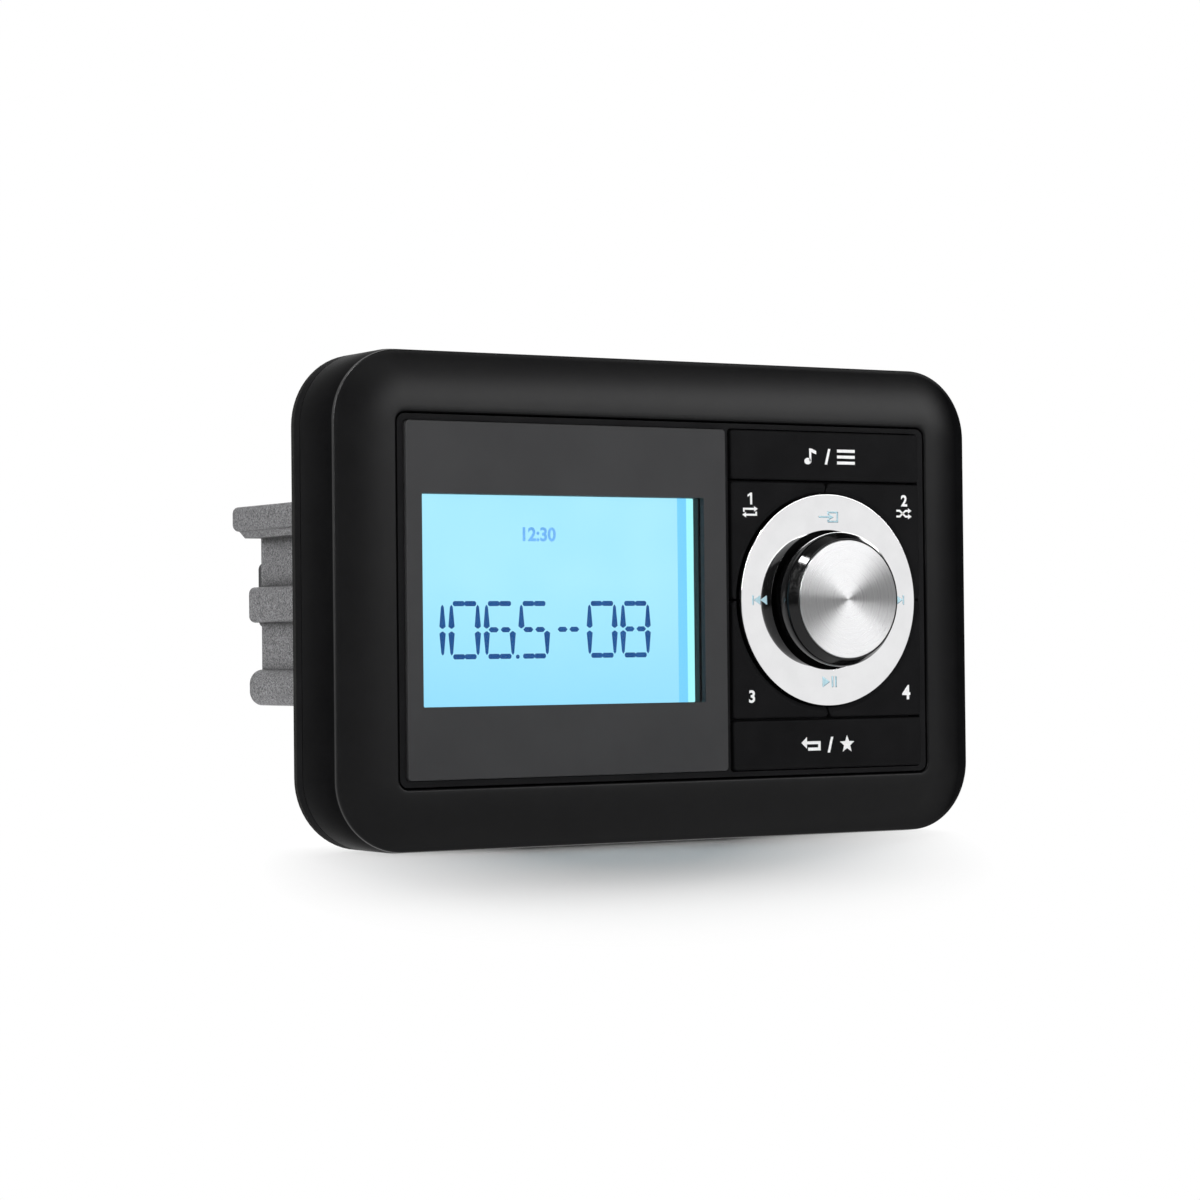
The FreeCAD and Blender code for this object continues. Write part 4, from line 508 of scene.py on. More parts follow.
fit_softened("blade_fuse_body", "blade_fuse", 0.0001, tinted_fuse())


# Mounting flange and its gasket: a moulded frame with four screw holes, and a foam strip that
# it presses against the panel.

flange_black = moulded("flange_black", colour(15, 15, 16), colour(20, 20, 21), 0.55, 0.0003,
                       0.00002, 0.012)
fit_softened("flange_moulding", "mounting_flange", 0.00015, flange_black)
fit_softened("panel_gasket_foam", "panel_gasket", 0.0002, foam_rubber)


# Front board: glass fibre, with a tact switch and its button behind each key and each pressing
# place of the ring. It is screwed to the back of the housing.

wear(solder_mask_green, "front_board")
switch_black = moulded("switch_black", colour(26, 26, 28), colour(36, 36, 38), 0.45, 0.0003,
                       0.00002)
wear(switch_black, "tact_switches", "ring_switch_buttons",
     *[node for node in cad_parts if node.endswith("_button")])


# Rotary encoder: case on the front board, brass bushing through the floor of the key well,
# held by a washer and a nut, with the steel shaft and the plunger that it pushes.

wear(switch_black, "encoder_case", "encoder_plunger")
wear(brass, "encoder_bushing")
wear(zinc_plate, "encoder_washer", "encoder_nut", "encoder_shaft")


# Housing: one black moulding that is the face frame in front and carries the display and the
# front board behind it. Screws through its lugs hold it to the flange.

frame_black = moulded("frame_black", colour(26, 26, 27), colour(30, 30, 31), 0.5, 0.00025,
                      0.00001, 0.012)
fit_softened("face_frame_housing", "front_housing", 0.00012, frame_black)


# Display behind the window: holder, light guide with its LEDs, contact strips, and the liquid
# crystal glass that is lit from behind.

# Heights between which the light grows paler, and where each upright strip at its right starts.
# The last, dark strip is painted shade of the gap at the window's edge.
DEEP_LIGHT_Z, PALE_LIGHT_Z = -0.021, 0.004
DIM_STRIP_X, BRIGHT_STRIP_X, SHADED_GAP_X = 0.00283, 0.00499, 0.00667


def lit_glass():
    """Pale blue light, deeper towards the bottom, with a dim and a bright strip at the right, then
    a dark strip of painted shade where the window's edge meets it.
    """
    finish, tree, shader, place = start_finish("lit_glass")
    apart = step(tree, "ShaderNodeSeparateXYZ", {"Vector": place})
    height = ranged(tree, apart["Z"], DEEP_LIGHT_Z, PALE_LIGHT_Z)
    glow = tinted(tree, height, colour(150, 222, 252), colour(168, 233, 252))
    cloud = specks(tree, place, 0.016, 1.0)
    glow = tinted(tree, spread(tree, cloud, 0.0, 0.2), glow, colour(140, 216, 248))
    # The dark strip at the far right is painted shade of the gap beside the window, not light from
    # the glass.
    for start, tone in ((DIM_STRIP_X, colour(118, 208, 251)),
                        (BRIGHT_STRIP_X, colour(166, 249, 253)),
                        (SHADED_GAP_X, colour(10, 14, 18))):
        beyond = sums(tree, "GREATER_THAN", apart["X"], start)
        glow = tinted(tree, beyond, glow, tone)
    tree.links.new(tinted(tree, cloud, colour(20, 34, 40), colour(26, 42, 50)),
                   shader.inputs["Base Color"])
    shader.inputs["Roughness"].default_value = 0.3
    shader.inputs["Specular IOR Level"].default_value = 0.1
    tree.links.new(glow, shader.inputs["Emission Color"])
    shader.inputs["Emission Strength"].default_value = 1.32
    return finish


wear(switch_black, "lcd_holder")
wear(silicone_grey, "lcd_contact_strips")
wear(nylon_white, "light_guide", "backlight_leds")
fit_softened("lit_display_glass", "lcd_glass", 0.0001, lit_glass())


def display_bars():
    """Bars of one size with their corners cut off, one on each point it is given. A taper
    makes their upper end wider than their lower end, or narrower if it is below nought."""
    tree, given = start_tree("display_bars", ["Width", "Height", "Corner", "Taper", "Thickness"])
    edge = step(tree, "CurvePrimitiveQuadrilateral",
                {"Width": given["Width"], "Height": given["Height"]})[0]
    edge = step(tree, "FilletCurve", {"Curve": edge, "Radius": given["Corner"], "Count": 1},
                mode="POLY")[0]
    face = step(tree, "FillCurve", {"Curve": edge})[0]
    apart = step(tree, "ShaderNodeSeparateXYZ", {"Vector": step(tree, "InputPosition", {})[0]})
    up = sums(tree, "DIVIDE", apart["Y"], given["Height"])
    inward = sums(tree, "MULTIPLY", up, given["Taper"], apart["X"])
    face = step(tree, "SetPosition", {"Geometry": face, "Offset": vector(tree, x=inward)})[0]
    solid = step(tree, "ExtrudeMesh", {"Mesh": face, "Offset Scale": given["Thickness"],
                                       "Individual": False})[0]
    back = step(tree, "FlipFaces", {"Mesh": face})[0]
    bar = step(tree, "Transform", {"Geometry": together(tree, [solid, back]),
                                   "Rotation": (math.radians(90), 0, 0)})[0]
    bars = step(tree, "InstanceOnPoints", {"Points": given["Geometry"], "Instance": bar})[0]
    end_tree(tree, given, bars)
    return tree


def crystal(name, dark, light):
    """Liquid crystal that is turned dark and still lets some of the light through."""
    finish, tree, shader, place = start_finish(name)
    uneven = specks(tree, place, 0.004, 2.0)
    glow = tinted(tree, spread(tree, uneven), dark, light)
    tree.links.new(glow, shader.inputs["Emission Color"])
    tree.links.new(glow, shader.inputs["Base Color"])
    shader.inputs["Emission Strength"].default_value = 0.85
    shader.inputs["Roughness"].default_value = 0.4
    shader.inputs["Specular IOR Level"].default_value = 0.1
    return finish


def numeral(text, x, z, height, front, thickness=0.00003):
    """Flat numbers of a given height, a little bolder than the font, round a place on a face."""
    letters = bpy.data.curves.new("letters", "FONT")
    letters.body = text
    letters.offset = 0.03
    letters.resolution_u = 5
    letters.extrude = 1.0
    carrier = carried(letters)
    mesh = plain_mesh(carrier)
    bpy.data.objects.remove(carrier)
    low = [min(v.co[i] for v in mesh.vertices) for i in (0, 1)]
    high = [max(v.co[i] for v in mesh.vertices) for i in (0, 1)]
    size = height / (high[1] - low[1])
    mesh.transform(Matrix.Translation((x, front, z))
                   @ Matrix.Rotation(math.radians(90), 4, "X")
                   @ Matrix.Diagonal((size, size, thickness, 1.0))
                   @ Matrix.Translation((-(low[0] + high[0]) / 2, -(low[1] + high[1]) / 2, 0)))
    return mesh


# Which of a digit's seven bars are dark: top, middle, bottom, then the upright ones from the
# upper left to the lower right.
LIT_BARS = {"0": "1011111", "1": "0000101", "5": "1111001", "6": "1111011", "8": "1111111",
            "-": "0100000"}
# Places of the bars from the left of a digit: each flat bar is in two halves.
FLAT_HALVES = (0.00127, 0.00383)
SHORT_HALVES = (0.00120, 0.00390)
UPRIGHT_SIDES = (-0.00036, 0.00546)
TOP_Z, UPPER_Z, MIDDLE_Z, LOWER_Z, BOTTOM_Z = -0.0006, -0.00315, -0.0057, -0.0083, -0.0109
FIRST_DIGIT_X = -0.0567
DIGIT_STEP = 0.0078
POINT_X = FIRST_DIGIT_X + 3 * DIGIT_STEP - 0.00125
DISPLAY_FRONT = -0.01711
PRINT_THICKNESS = 0.00002

spots = {"flat_display_bars": [], "short_display_bars": [], "upper_display_uprights": [],
         "lower_display_uprights": [], "display_decimal_point": [(POINT_X, BOTTOM_Z - 0.0001)]}
for index, digit in enumerate("1065-08"):
    left = FIRST_DIGIT_X + index * DIGIT_STEP
    top, middle, bottom, *uprights = [on == "1" for on in LIT_BARS[digit]]
    for on, height in ((top, TOP_Z), (bottom, BOTTOM_Z)):
        if on:
            spots["flat_display_bars"] += [(left + x, height) for x in FLAT_HALVES]
    if middle:
        spots["short_display_bars"] += [(left + x, MIDDLE_Z) for x in SHORT_HALVES]
    for place, on in enumerate(uprights):
        half, height = (("upper", UPPER_Z), ("lower", LOWER_Z))[place // 2]
        if on:
            spots[half + "_display_uprights"].append((left + UPRIGHT_SIDES[place % 2], height))

bar_tree = display_bars()
segment_blue = crystal("segment_blue", colour(18, 66, 124), colour(28, 80, 138))
for name, width, height, corner, taper in (
        ("flat_display_bars", 0.0026, 0.0010, 0.00028, 0.0),
        ("short_display_bars", 0.0022, 0.0010, 0.00045, 0.0),
        ("upper_display_uprights", 0.0010, 0.0046, 0.0004, -0.9),
        ("lower_display_uprights", 0.0010, 0.0046, 0.0004, 0.9),
        ("display_decimal_point", 0.0008, 0.0008, 0.0002, 0.0)):
    points = bpy.data.meshes.new("points")
    points.from_pydata([(x, DISPLAY_FRONT, z) for x, z in spots[name]], [], [])
    bars = grown(bar_tree, {"Width": width, "Height": height, "Corner": corner, "Taper": taper,
                            "Thickness": PRINT_THICKNESS, "Finish": segment_blue}, points)
    fit_piece(name, bars, segment_blue)
clock = numeral("12:30", -0.0294, 0.0130, 0.0028, DISPLAY_FRONT, PRINT_THICKNESS)
fit_piece("display_clock", clock,
          crystal("clock_blue", colour(98, 160, 220), colour(108, 170, 228)))


# Display fascia: a dark grey moulding that is bonded to the housing with tape, and the clear
# acrylic window behind its opening.

fascia_grey = moulded("fascia_grey", colour(65, 65, 66), colour(68, 68, 69), 0.4, 0.0004,
                      0.00001, 0.01)
wear(foam_rubber, "fascia_tape")
fit_softened("fascia_moulding", "display_fascia", 0.0001, fascia_grey)


def clear_acrylic():
    """Thin clear sheet, here and there a little less smooth."""
    finish, tree, shader, place = start_finish("clear_acrylic")
    smear = specks(tree, place, 0.01, 3.0)
    painted(tree, shader, tinted(tree, smear, colour(8, 10, 12), colour(14, 17, 20)),
            spread(tree, smear, 0.02, 0.06))
    shader.inputs["Alpha"].default_value = 0.12
    return finish


fit_softened("window_pane", "display_window", 0.0001, clear_acrylic())


# Keys: four round the ring and a bar above and below it, hollow, each with a stem and two
# legs that clip into the floor of the well.

key_black = moulded("key_black", colour(21, 21, 22), colour(25, 25, 26), 0.5, 0.00025, 0.00001,
                    0.012)
for key in ("key_1", "key_2", "key_3", "key_4", "upper_bar_key", "lower_bar_key"):
    fit_softened(key + "_cap", key, 0.00008, key_black, body=key)


# Ink on the keys, printed with a pad: plain numbers, two of them with a small symbol, and a pair
# of symbols on each bar key. Outlines are in millimetres, across and along.

KEY_FRONT = -0.0210


def symbol(outlines, x, z, front, thickness=0.00003):
    """Flat shapes from outlines in millimetres round a place on a face."""
    shape = bmesh.new()
    for outline in outlines:
        face = shape.faces.new([shape.verts.new((x + a / 1000, front + thickness, z + b / 1000))
                                for a, b in outline])
        raised = bmesh.ops.extrude_face_region(shape, geom=[face])["geom"]
        bmesh.ops.translate(shape, vec=(0, -2 * thickness, 0),
                            verts=[v for v in raised if isinstance(v, bmesh.types.BMVert)])
    bmesh.ops.recalc_face_normals(shape, faces=shape.faces)
    mesh = bpy.data.meshes.new("symbol")
    shape.to_mesh(mesh)
    shape.free()
    return mesh


def bar(x0, x1, z0, z1):
    """Outline of a bar between two places across and two along."""
    return [(x0, z0), (x1, z0), (x1, z1), (x0, z1)]


def scaled(outlines, across, along):
    """The same outlines, made larger or, with a factor below nought, mirrored."""
    return [[(a * across, b * along) for a, b in outline] for outline in outlines]


def shifted(outlines, across):
    """The same outlines, moved sideways."""
    return [[(a + across, b) for a, b in outline] for outline in outlines]


def ink(name, dark, light):
    """Matt printing ink, a little uneven in tone."""
    finish, tree, shader, place = start_finish(name)
    uneven = specks(tree, place, 0.0004, 2.0)
    painted(tree, shader, tinted(tree, spread(tree, uneven), dark, light),
            spread(tree, uneven, 0.45, 0.6))
    shader.inputs["Specular IOR Level"].default_value = 0.2
    return finish


half_loop = [bar(-1.7, 1.0, 0.4, 0.8), bar(-1.7, -1.3, -0.05, 0.4),
             [(1.0, 0.05), (1.9, 0.6), (1.0, 1.15)]]
repeat_sign = half_loop + scaled(half_loop, -1, -1)
rising_line = [[(-1.8, -0.8), (-0.9, -0.8), (0.6, 0.4), (1.2, 0.4), (1.2, 0.8),
                (0.5, 0.8), (-1.05, -0.4), (-1.8, -0.4)],
               [(1.2, 0.05), (2.1, 0.6), (1.2, 1.15)]]
shuffle_sign = rising_line + scaled(rising_line, 1, -1)
menu_sign = [bar(-1.6, 1.6, z - 0.22, z + 0.22) for z in (-0.88, 0.0, 0.88)]
circle = [(math.cos(math.radians(t)), math.sin(math.radians(t))) for t in range(0, 360, 20)]
note_sign = [[(0.62 * a - 0.45, 0.48 * b - 0.72) for a, b in circle],
             bar(-0.2, 0.17, -0.72, 1.15), [(0.17, 1.15), (1.05, 0.8), (1.05, 0.3), (0.17, 0.6)]]
slash = [[(-0.52, -1.15), (-0.1, -1.15), (0.52, 1.15), (0.1, 1.15)]]
back_sign = [[(-2.0, 0.35), (-1.0, 1.2), (-1.0, -0.5)], bar(-1.0, 1.0, 0.13, 0.57),
             bar(1.0, 1.44, -0.8, 0.57), bar(-0.8, 1.0, -0.8, -0.36)]
star_sign = [[(r * math.sin(math.radians(36 * i)), r * math.cos(math.radians(36 * i)))
              for i, r in enumerate([1.35, 0.58] * 5)]]
one_sign = [[(0.05, -1.2), (0.55, -1.2), (0.55, 1.2), (0.15, 1.2), (-0.55, 0.75),
             (-0.55, 0.35), (0.05, 0.65)]]
upper_pair = scaled(shifted(note_sign, -3.1) + slash + shifted(menu_sign, 3.3), 1.4, 1.4)
lower_pair = scaled(shifted(back_sign, -3.2) + slash + shifted(star_sign, 3.0), 1.4, 1.4)
key_marks = (
    ("key_1", symbol(one_sign, 0.0179, 0.0206, KEY_FRONT)),
    ("key_1", symbol(repeat_sign, 0.0179, 0.0179, KEY_FRONT)),
    ("key_2", numeral("2", 0.0567, 0.0207, 0.0024, KEY_FRONT)),
    ("key_2", symbol(shuffle_sign, 0.0565, 0.0180, KEY_FRONT)),
    ("key_3", numeral("3", 0.0179, -0.0196, 0.0026, KEY_FRONT)),
    ("key_4", numeral("4", 0.0567, -0.0193, 0.0030, KEY_FRONT)),
    ("upper_bar_key", symbol(upper_pair, 0.0373, 0.0295, KEY_FRONT)),
    ("lower_bar_key", symbol(lower_pair, 0.0372, -0.0298, KEY_FRONT)),
)
white_ink = ink("white_ink", colour(238, 238, 238), colour(248, 248, 248))
for index, (key, mesh) in enumerate(key_marks, 1):
    fit_piece(key + "_mark_" + str(index), mesh, white_ink, body=key)


# Ring: a silver plated face on a black base, which rocks both ways on a gimbal. Its four
# pressing places carry printed symbols.

KNOB_AXIS_X = 0.0370
RING_INNER_R, RING_OUTER_R, RING_EDGE_R = 0.0143, 0.02175, 0.00012
RING_FRONT, RING_BACK, RING_MARK_FRONT = -0.0214, -0.0204, -0.02141


def rounded(corners, steps=6):
    """Outline with its corners rounded. A corner is (across, along) or (across, along, radius)."""
    points = []
    for index, corner in enumerate(corners):
        here = Vector(corner[:2])
        if len(corner) < 3:
            points.append(here)
            continue
        before = Vector(corners[index - 1][:2]) - here
        after = Vector(corners[(index + 1) % len(corners)][:2]) - here
        half = before.angle(after) / 2
        reach = corner[2] / math.tan(half)
        middle = here + (before.normalized() + after.normalized()).normalized() * (
            corner[2] / math.sin(half))
        first = here + before.normalized() * reach - middle
        turn = first.angle_signed(here + after.normalized() * reach - middle)
        for i in range(steps + 1):
            points.append(middle + Matrix.Rotation(-turn * i / steps, 2) @ first)
    return points


def turned(outline, steps=128):
    """Solid turned round the knob's axis from a closed outline of radius and depth."""
    shape = bmesh.new()
    rings = []
    for radius, depth in outline:
        count = 1 if radius < 1e-7 else steps
        rings.append([shape.verts.new((KNOB_AXIS_X + radius * math.cos(2 * math.pi * i / steps),
                                       depth, radius * math.sin(2 * math.pi * i / steps)))
                      for i in range(count)])
    for index, ring in enumerate(rings):
        after = rings[(index + 1) % len(rings)]
        if len(ring) == len(after) == 1:
            continue
        for i in range(steps):
            corners = [ring[i % len(ring)], ring[(i + 1) % len(ring)],
                       after[(i + 1) % len(after)], after[i % len(after)]]
            shape.faces.new(list(dict.fromkeys(corners)))
    bmesh.ops.recalc_face_normals(shape, faces=shape.faces)
    mesh = bpy.data.meshes.new("turned")
    shape.to_mesh(mesh)
    shape.free()
    return levelled(carried(mesh), 30)


def silver_plating():
    """Bright plated metal, almost a mirror."""
    finish, tree, shader, place = start_finish("silver_plating")
    cloud = specks(tree, place, 0.005, 2.0)
    tone = tinted(tree, spread(tree, cloud), colour(228, 228, 229), colour(234, 234, 235))
    painted(tree, shader, tone, spread(tree, cloud, 0.035, 0.05))
    shader.inputs["Metallic"].default_value = 1.0
    return finish


ring_outline = rounded([(RING_INNER_R, RING_FRONT, RING_EDGE_R),
                        (RING_OUTER_R, RING_FRONT, RING_EDGE_R),
                        (RING_OUTER_R, RING_BACK), (RING_INNER_R, RING_BACK)])
fit_piece("silver_ring_face", turned(ring_outline), silver_plating(), body="ring",
          stands_for=["ring_face"])
wear(key_black, "ring_base", "ring_gimbal")

right_triangle = [[(-0.8, -0.95), (0.8, 0.0), (-0.8, 0.95)]]
skip_sign = (shifted(right_triangle, -1.0) + shifted(right_triangle, 0.6)
             + [bar(1.45, 1.75, -0.95, 0.95)])
play_sign = [[(-1.8, -1.1), (0.0, 0.0), (-1.8, 1.1)], bar(0.5, 0.85, -1.1, 1.1),
             bar(1.35, 1.7, -1.1, 1.1)]
source_sign = [bar(-0.2, 2.4, 0.8, 1.1), bar(-0.2, 2.4, -1.1, -0.8), bar(2.1, 2.4, -0.8, 0.8),
               bar(-0.2, 0.1, -0.8, -0.45), bar(-0.2, 0.1, 0.45, 0.8), bar(-2.4, 0.2, -0.15, 0.15),
               [(0.2, -0.55), (1.3, 0.0), (0.2, 0.55)]]
pale_ink = ink("pale_ink", colour(176, 212, 224), colour(190, 224, 234))
# The darker ink is a painted shadow under the ring's symbols.
painted_shadow_ink = ink("painted_shadow_ink", colour(92, 118, 132), colour(104, 130, 144))
# Each symbol is printed pale, over a darker copy moved down and to the right that shows along two
# of its sides as a painted shadow.
for name, outlines, x, z in (("previous", scaled(skip_sign, -1, 1), -0.0173, 0.0),
                             ("next", skip_sign, 0.0173, 0.0),
                             ("play", play_sign, -0.0001, -0.0168),
                             ("source", source_sign, 0.0, 0.0171)):
    for layer, finish, shift, front in (("mark", pale_ink, 0.0, RING_MARK_FRONT),
                                        ("edge", painted_shadow_ink, 0.00009, RING_FRONT)):
        fit_piece("ring_" + name + "_" + layer,
                  symbol(outlines, KNOB_AXIS_X + x + shift, z - shift, front, 0.00001), finish,
                  body="ring")


# Knob: glossy black plastic on the encoder's shaft, to turn and to push, with a thin aluminium
# cap let into its face that is brushed in circles.

CAP_FRONT, KNOB_FRONT, CAP_BACK = -0.0283, -0.0281, -0.0275
KNOB_BACK = -0.0209
CAP_R, RECESS_R = 0.01205, 0.0121
SIDE_FOOT = Vector((0.0129, KNOB_BACK))
WIDEST = Vector((0.0138, -0.0254))
SHOULDER = Vector((0.0135, -0.0265))


def bowed(start, end, bow, steps=8):
    """Points from one place to another along a line that bows outward."""
    middle = (start + end) / 2 + Vector((bow, 0))
    return [start * (1 - t) ** 2 + (middle * 2 - (start + end) / 2) * 2 * t * (1 - t)
            + end * t ** 2 for t in [i / steps for i in range(steps + 1)]]


knob_gloss = moulded("knob_gloss", colour(8, 8, 9), colour(11, 11, 12), 0.10, 0.0008,
                     0.000002, 0.28)
knob_side = bowed(SIDE_FOOT, WIDEST, 0.00018) + bowed(WIDEST, SHOULDER, 0.000075)[1:]
knob_rim = rounded([SHOULDER, (0.01245, KNOB_FRONT, 0.00012), (RECESS_R, KNOB_FRONT, 0.00008),
                    (RECESS_R, CAP_BACK)])
# The back is hollow, with a tube in its middle that holds the shaft.
knob_hollow = [Vector(corner) for corner in (
    (0.0, CAP_BACK), (0.0, -0.0263), (0.0030, -0.0263), (0.0030, -0.0200), (0.0048, -0.0200),
    (0.0048, -0.0263), (0.0118, -0.0263), (0.0109, KNOB_BACK))]
fit_piece("gloss_knob", turned(knob_side + knob_rim[1:] + knob_hollow), knob_gloss,
          body="knob", stands_for=["knob_body"])


def circle_brushed():
    """Metal brushed in circles round the knob's axis, so that light spreads across them."""
    finish, tree, shader, place = start_finish("circle_brushed")
    centred = moved(tree, place, offset=(-KNOB_AXIS_X, 0, 0))
    apart = step(tree, "ShaderNodeSeparateXYZ", {"Vector": centred})
    flat = step(tree, "ShaderNodeCombineXYZ", {"X": apart["X"], "Z": apart["Z"]})[0]
    radius = step(tree, "ShaderNodeVectorMath", {0: flat}, operation="LENGTH")["Value"]
    lines = step(tree, "ShaderNodeTexNoise", {"W": radius, "Scale": 9000.0, "Detail": 3.0},
                 noise_dimensions="1D")["Fac"]
    tone = tinted(tree, spread(tree, lines), colour(168, 168, 169), colour(178, 178, 179))
    painted(tree, shader, tone, spread(tree, lines, 0.26, 0.34))
    shader.inputs["Metallic"].default_value = 1.0
    shader.inputs["Anisotropic"].default_value = 1.0
    shader.inputs["Anisotropic Rotation"].default_value = 0.25
    around = step(tree, "ShaderNodeTangent", {}, direction_type="RADIAL", axis="Y")[0]
    tree.links.new(around, shader.inputs["Tangent"])
    embossed(tree, shader, lines, 0.000001)
    return finish


cap_outline = rounded([(0.0, CAP_BACK), (0.0, CAP_FRONT), (CAP_R, CAP_FRONT, 0.00015),
                       (CAP_R, CAP_BACK)])
fit_piece("brushed_knob_cap", turned(cap_outline), circle_brushed(), body="knob",
          stands_for=["knob_cap"])


# Front trim: soft black moulding that clips over the flange. One section is swept round the
# window, whose small corner becomes the large one outside.

TRIM_EDGE_DEPTH = -0.0175


def swept_trim():
    """Sweeps the section it is given round a standing window with round corners."""
    tree, given = start_tree("swept_trim", ["Window width", "Window height", "Corner radius"],
                             ["Corner steps"])
    window = step(tree, "CurvePrimitiveQuadrilateral",
                  {"Width": given["Window width"], "Height": given["Window height"]})[0]
    window = step(tree, "FilletCurve", {"Curve": window, "Radius": given["Corner radius"],
                                        "Count": given["Corner steps"]}, mode="POLY")[0]
    window = step(tree, "SetCurveNormal", {"Curve": window}, mode="Z_UP")[0]
    section = step(tree, "MeshToCurve", {"Mesh": given["Geometry"]})[0]
    frame_shape = step(tree, "CurveToMesh", {"Curve": window, "Profile Curve": section})[0]
    standing = step(tree, "Transform", {"Geometry": frame_shape,
                                        "Rotation": (math.radians(90), 0, 0)})[0]
    end_tree(tree, given, standing)
    return tree


def arc(across, along, radius, first, last, steps):
    """Points on an arc, by its middle and its first and last angle in degrees."""
    turns = [math.radians(first + (last - first) * i / steps) for i in range(steps + 1)]
    return [Vector((across + radius * math.cos(a), along + radius * math.sin(a))) for a in turns]


def trim_section():
    """Outline of the trim's section: distance outward from the window, then depth."""
    border, wall, back = 0.0124, 0.0020, -0.0039
    lip_r, edge_r, rim_r, crown_r = 0.00025, 0.0004, 0.0005, 0.0265625
    crown_middle = 0.0061625
    side_end, side_step = -0.0149, 0.00025
    ledge_width, ledge = 0.0014, -0.0154
    lip = arc(border - lip_r, back - lip_r, lip_r, 90, 0, 3) + [Vector((border, side_end))]
    edge = arc(border - side_step - edge_r, TRIM_EDGE_DEPTH, edge_r, 0, -90, 6)
    swing = math.degrees(math.acos((edge[-1].x - rim_r) / crown_r))
    crown = arc(rim_r, crown_middle, crown_r, -swing, -90, 16)[1:]
    rim = arc(rim_r, crown_middle - crown_r + rim_r, rim_r, -90, -180, 6)[1:]
    inside = [Vector((0.0, ledge)), Vector((ledge_width, ledge))]
    under_r = crown_r - wall
    first = math.degrees(math.acos((ledge_width - rim_r) / under_r))
    last = math.degrees(math.acos((border - wall - rim_r) / under_r))
    under = arc(rim_r, crown_middle, under_r, -first, -last, 10)
    return lip + edge + crown + rim + inside + under + [Vector((border - wall, back))]


def soft_black():
    """Soft black coating with a very fine grain, rubbed shiny along its front edge. Its gloss
    dies away where the surface is seen edge on."""
    finish, tree, shader, place = start_finish("soft_black")
    grain = specks(tree, place, 0.00016, 3.0)
    broad = specks(tree, place, 0.006, 2.0)
    tone = tinted(tree, spread(tree, broad), colour(11, 11, 12), colour(14, 14, 15))
    painted(tree, shader, tone, spread(tree, grain, 0.30, 0.40))
    edge_on = tree.nodes.new("ShaderNodeLayerWeight")
    edge_on.inputs["Blend"].default_value = 0.5
    gloss = ranged(tree, edge_on.outputs["Facing"], 0.25, 0.45, 0.12, 0.004)
    apart = step(tree, "ShaderNodeSeparateXYZ", {"Vector": place})
    from_edge = sums(tree, "ABSOLUTE", sums(tree, "SUBTRACT", apart["Y"], TRIM_EDGE_DEPTH), 0.0)
    rubbed = ranged(tree, from_edge, 0.0, 0.0004, 0.4, 0.0)
    tree.links.new(sums(tree, "ADD", gloss, rubbed), shader.inputs["Specular IOR Level"])
    embossed(tree, shader, grain, 0.000008)
    return finish


soft_black_coat = soft_black()
section = trim_section()
section_mesh = bpy.data.meshes.new("section")
section_mesh.from_pydata([(p.x, p.y, 0.0) for p in section],
                         [(i, (i + 1) % len(section)) for i in range(len(section))], [])
trim_mesh = grown(swept_trim(), {"Window width": 0.1252, "Window height": 0.0722,
                                 "Corner radius": 0.0020, "Corner steps": 20,
                                 "Finish": soft_black_coat}, section_mesh)
trim_shape = bmesh.new()
trim_shape.from_mesh(trim_mesh)
bmesh.ops.remove_doubles(trim_shape, verts=trim_shape.verts, dist=MERGE_DISTANCE)
bmesh.ops.recalc_face_normals(trim_shape, faces=trim_shape.faces)
trim_shape.to_mesh(trim_mesh)
trim_shape.free()
smooth_below(trim_mesh, 30)
fit_piece("soft_front_trim", trim_mesh, soft_black_coat,
          stands_for=["front_trim"])


# Screws: zinc plated, with a cross recess. They hold the boards, the casting, the rear plate,
# the chip clamp and the housing.

wear(zinc_plate, "board_screws", "case_screws", "housing_screws")


# Pale matt floor under the stereo. It keeps the shadow and fades into the white surround. Bright
# metal sees it white near the stereo, and dim further off except towards the white sheets.

FLOOR_Z = -0.0487
FLOOR_REACH = 0.8
WHITE = (1.0, 1.0, 1.0, 1.0)
# The floor shows its own shade in an oval round the stereo, and white outside it. The oval is
# long towards the camera and narrow across, because a longer direction here reaches less far.
FORWARD = (-2.1, -3.4, 0.0)
SIDEWAYS = (12.2, -7.4, 0.0)
# Directions of the sheets from the ring: beside the camera, straight ahead, and to the left.
RING_PLACE = Vector((KNOB_AXIS_X, -0.02, 0.0))
SHEETS = ((0.581, -0.814, 0.01), (0.05, -0.999, 0.0), (-0.5, -0.866, 0.0))


def product(tree, first, second):
    """How far two directions point the same way."""
    return step(tree, "ShaderNodeVectorMath", {0: first, 1: second},
                operation="DOT_PRODUCT")["Value"]


def sheet_share(tree, heading):
    """How far a direction points at one of the sheets, from 0 to 1."""
    return sums(tree, "MAXIMUM", *[ranged(tree, product(tree, heading, sheet), 0.983, 0.995)
                                   for sheet in SHEETS])


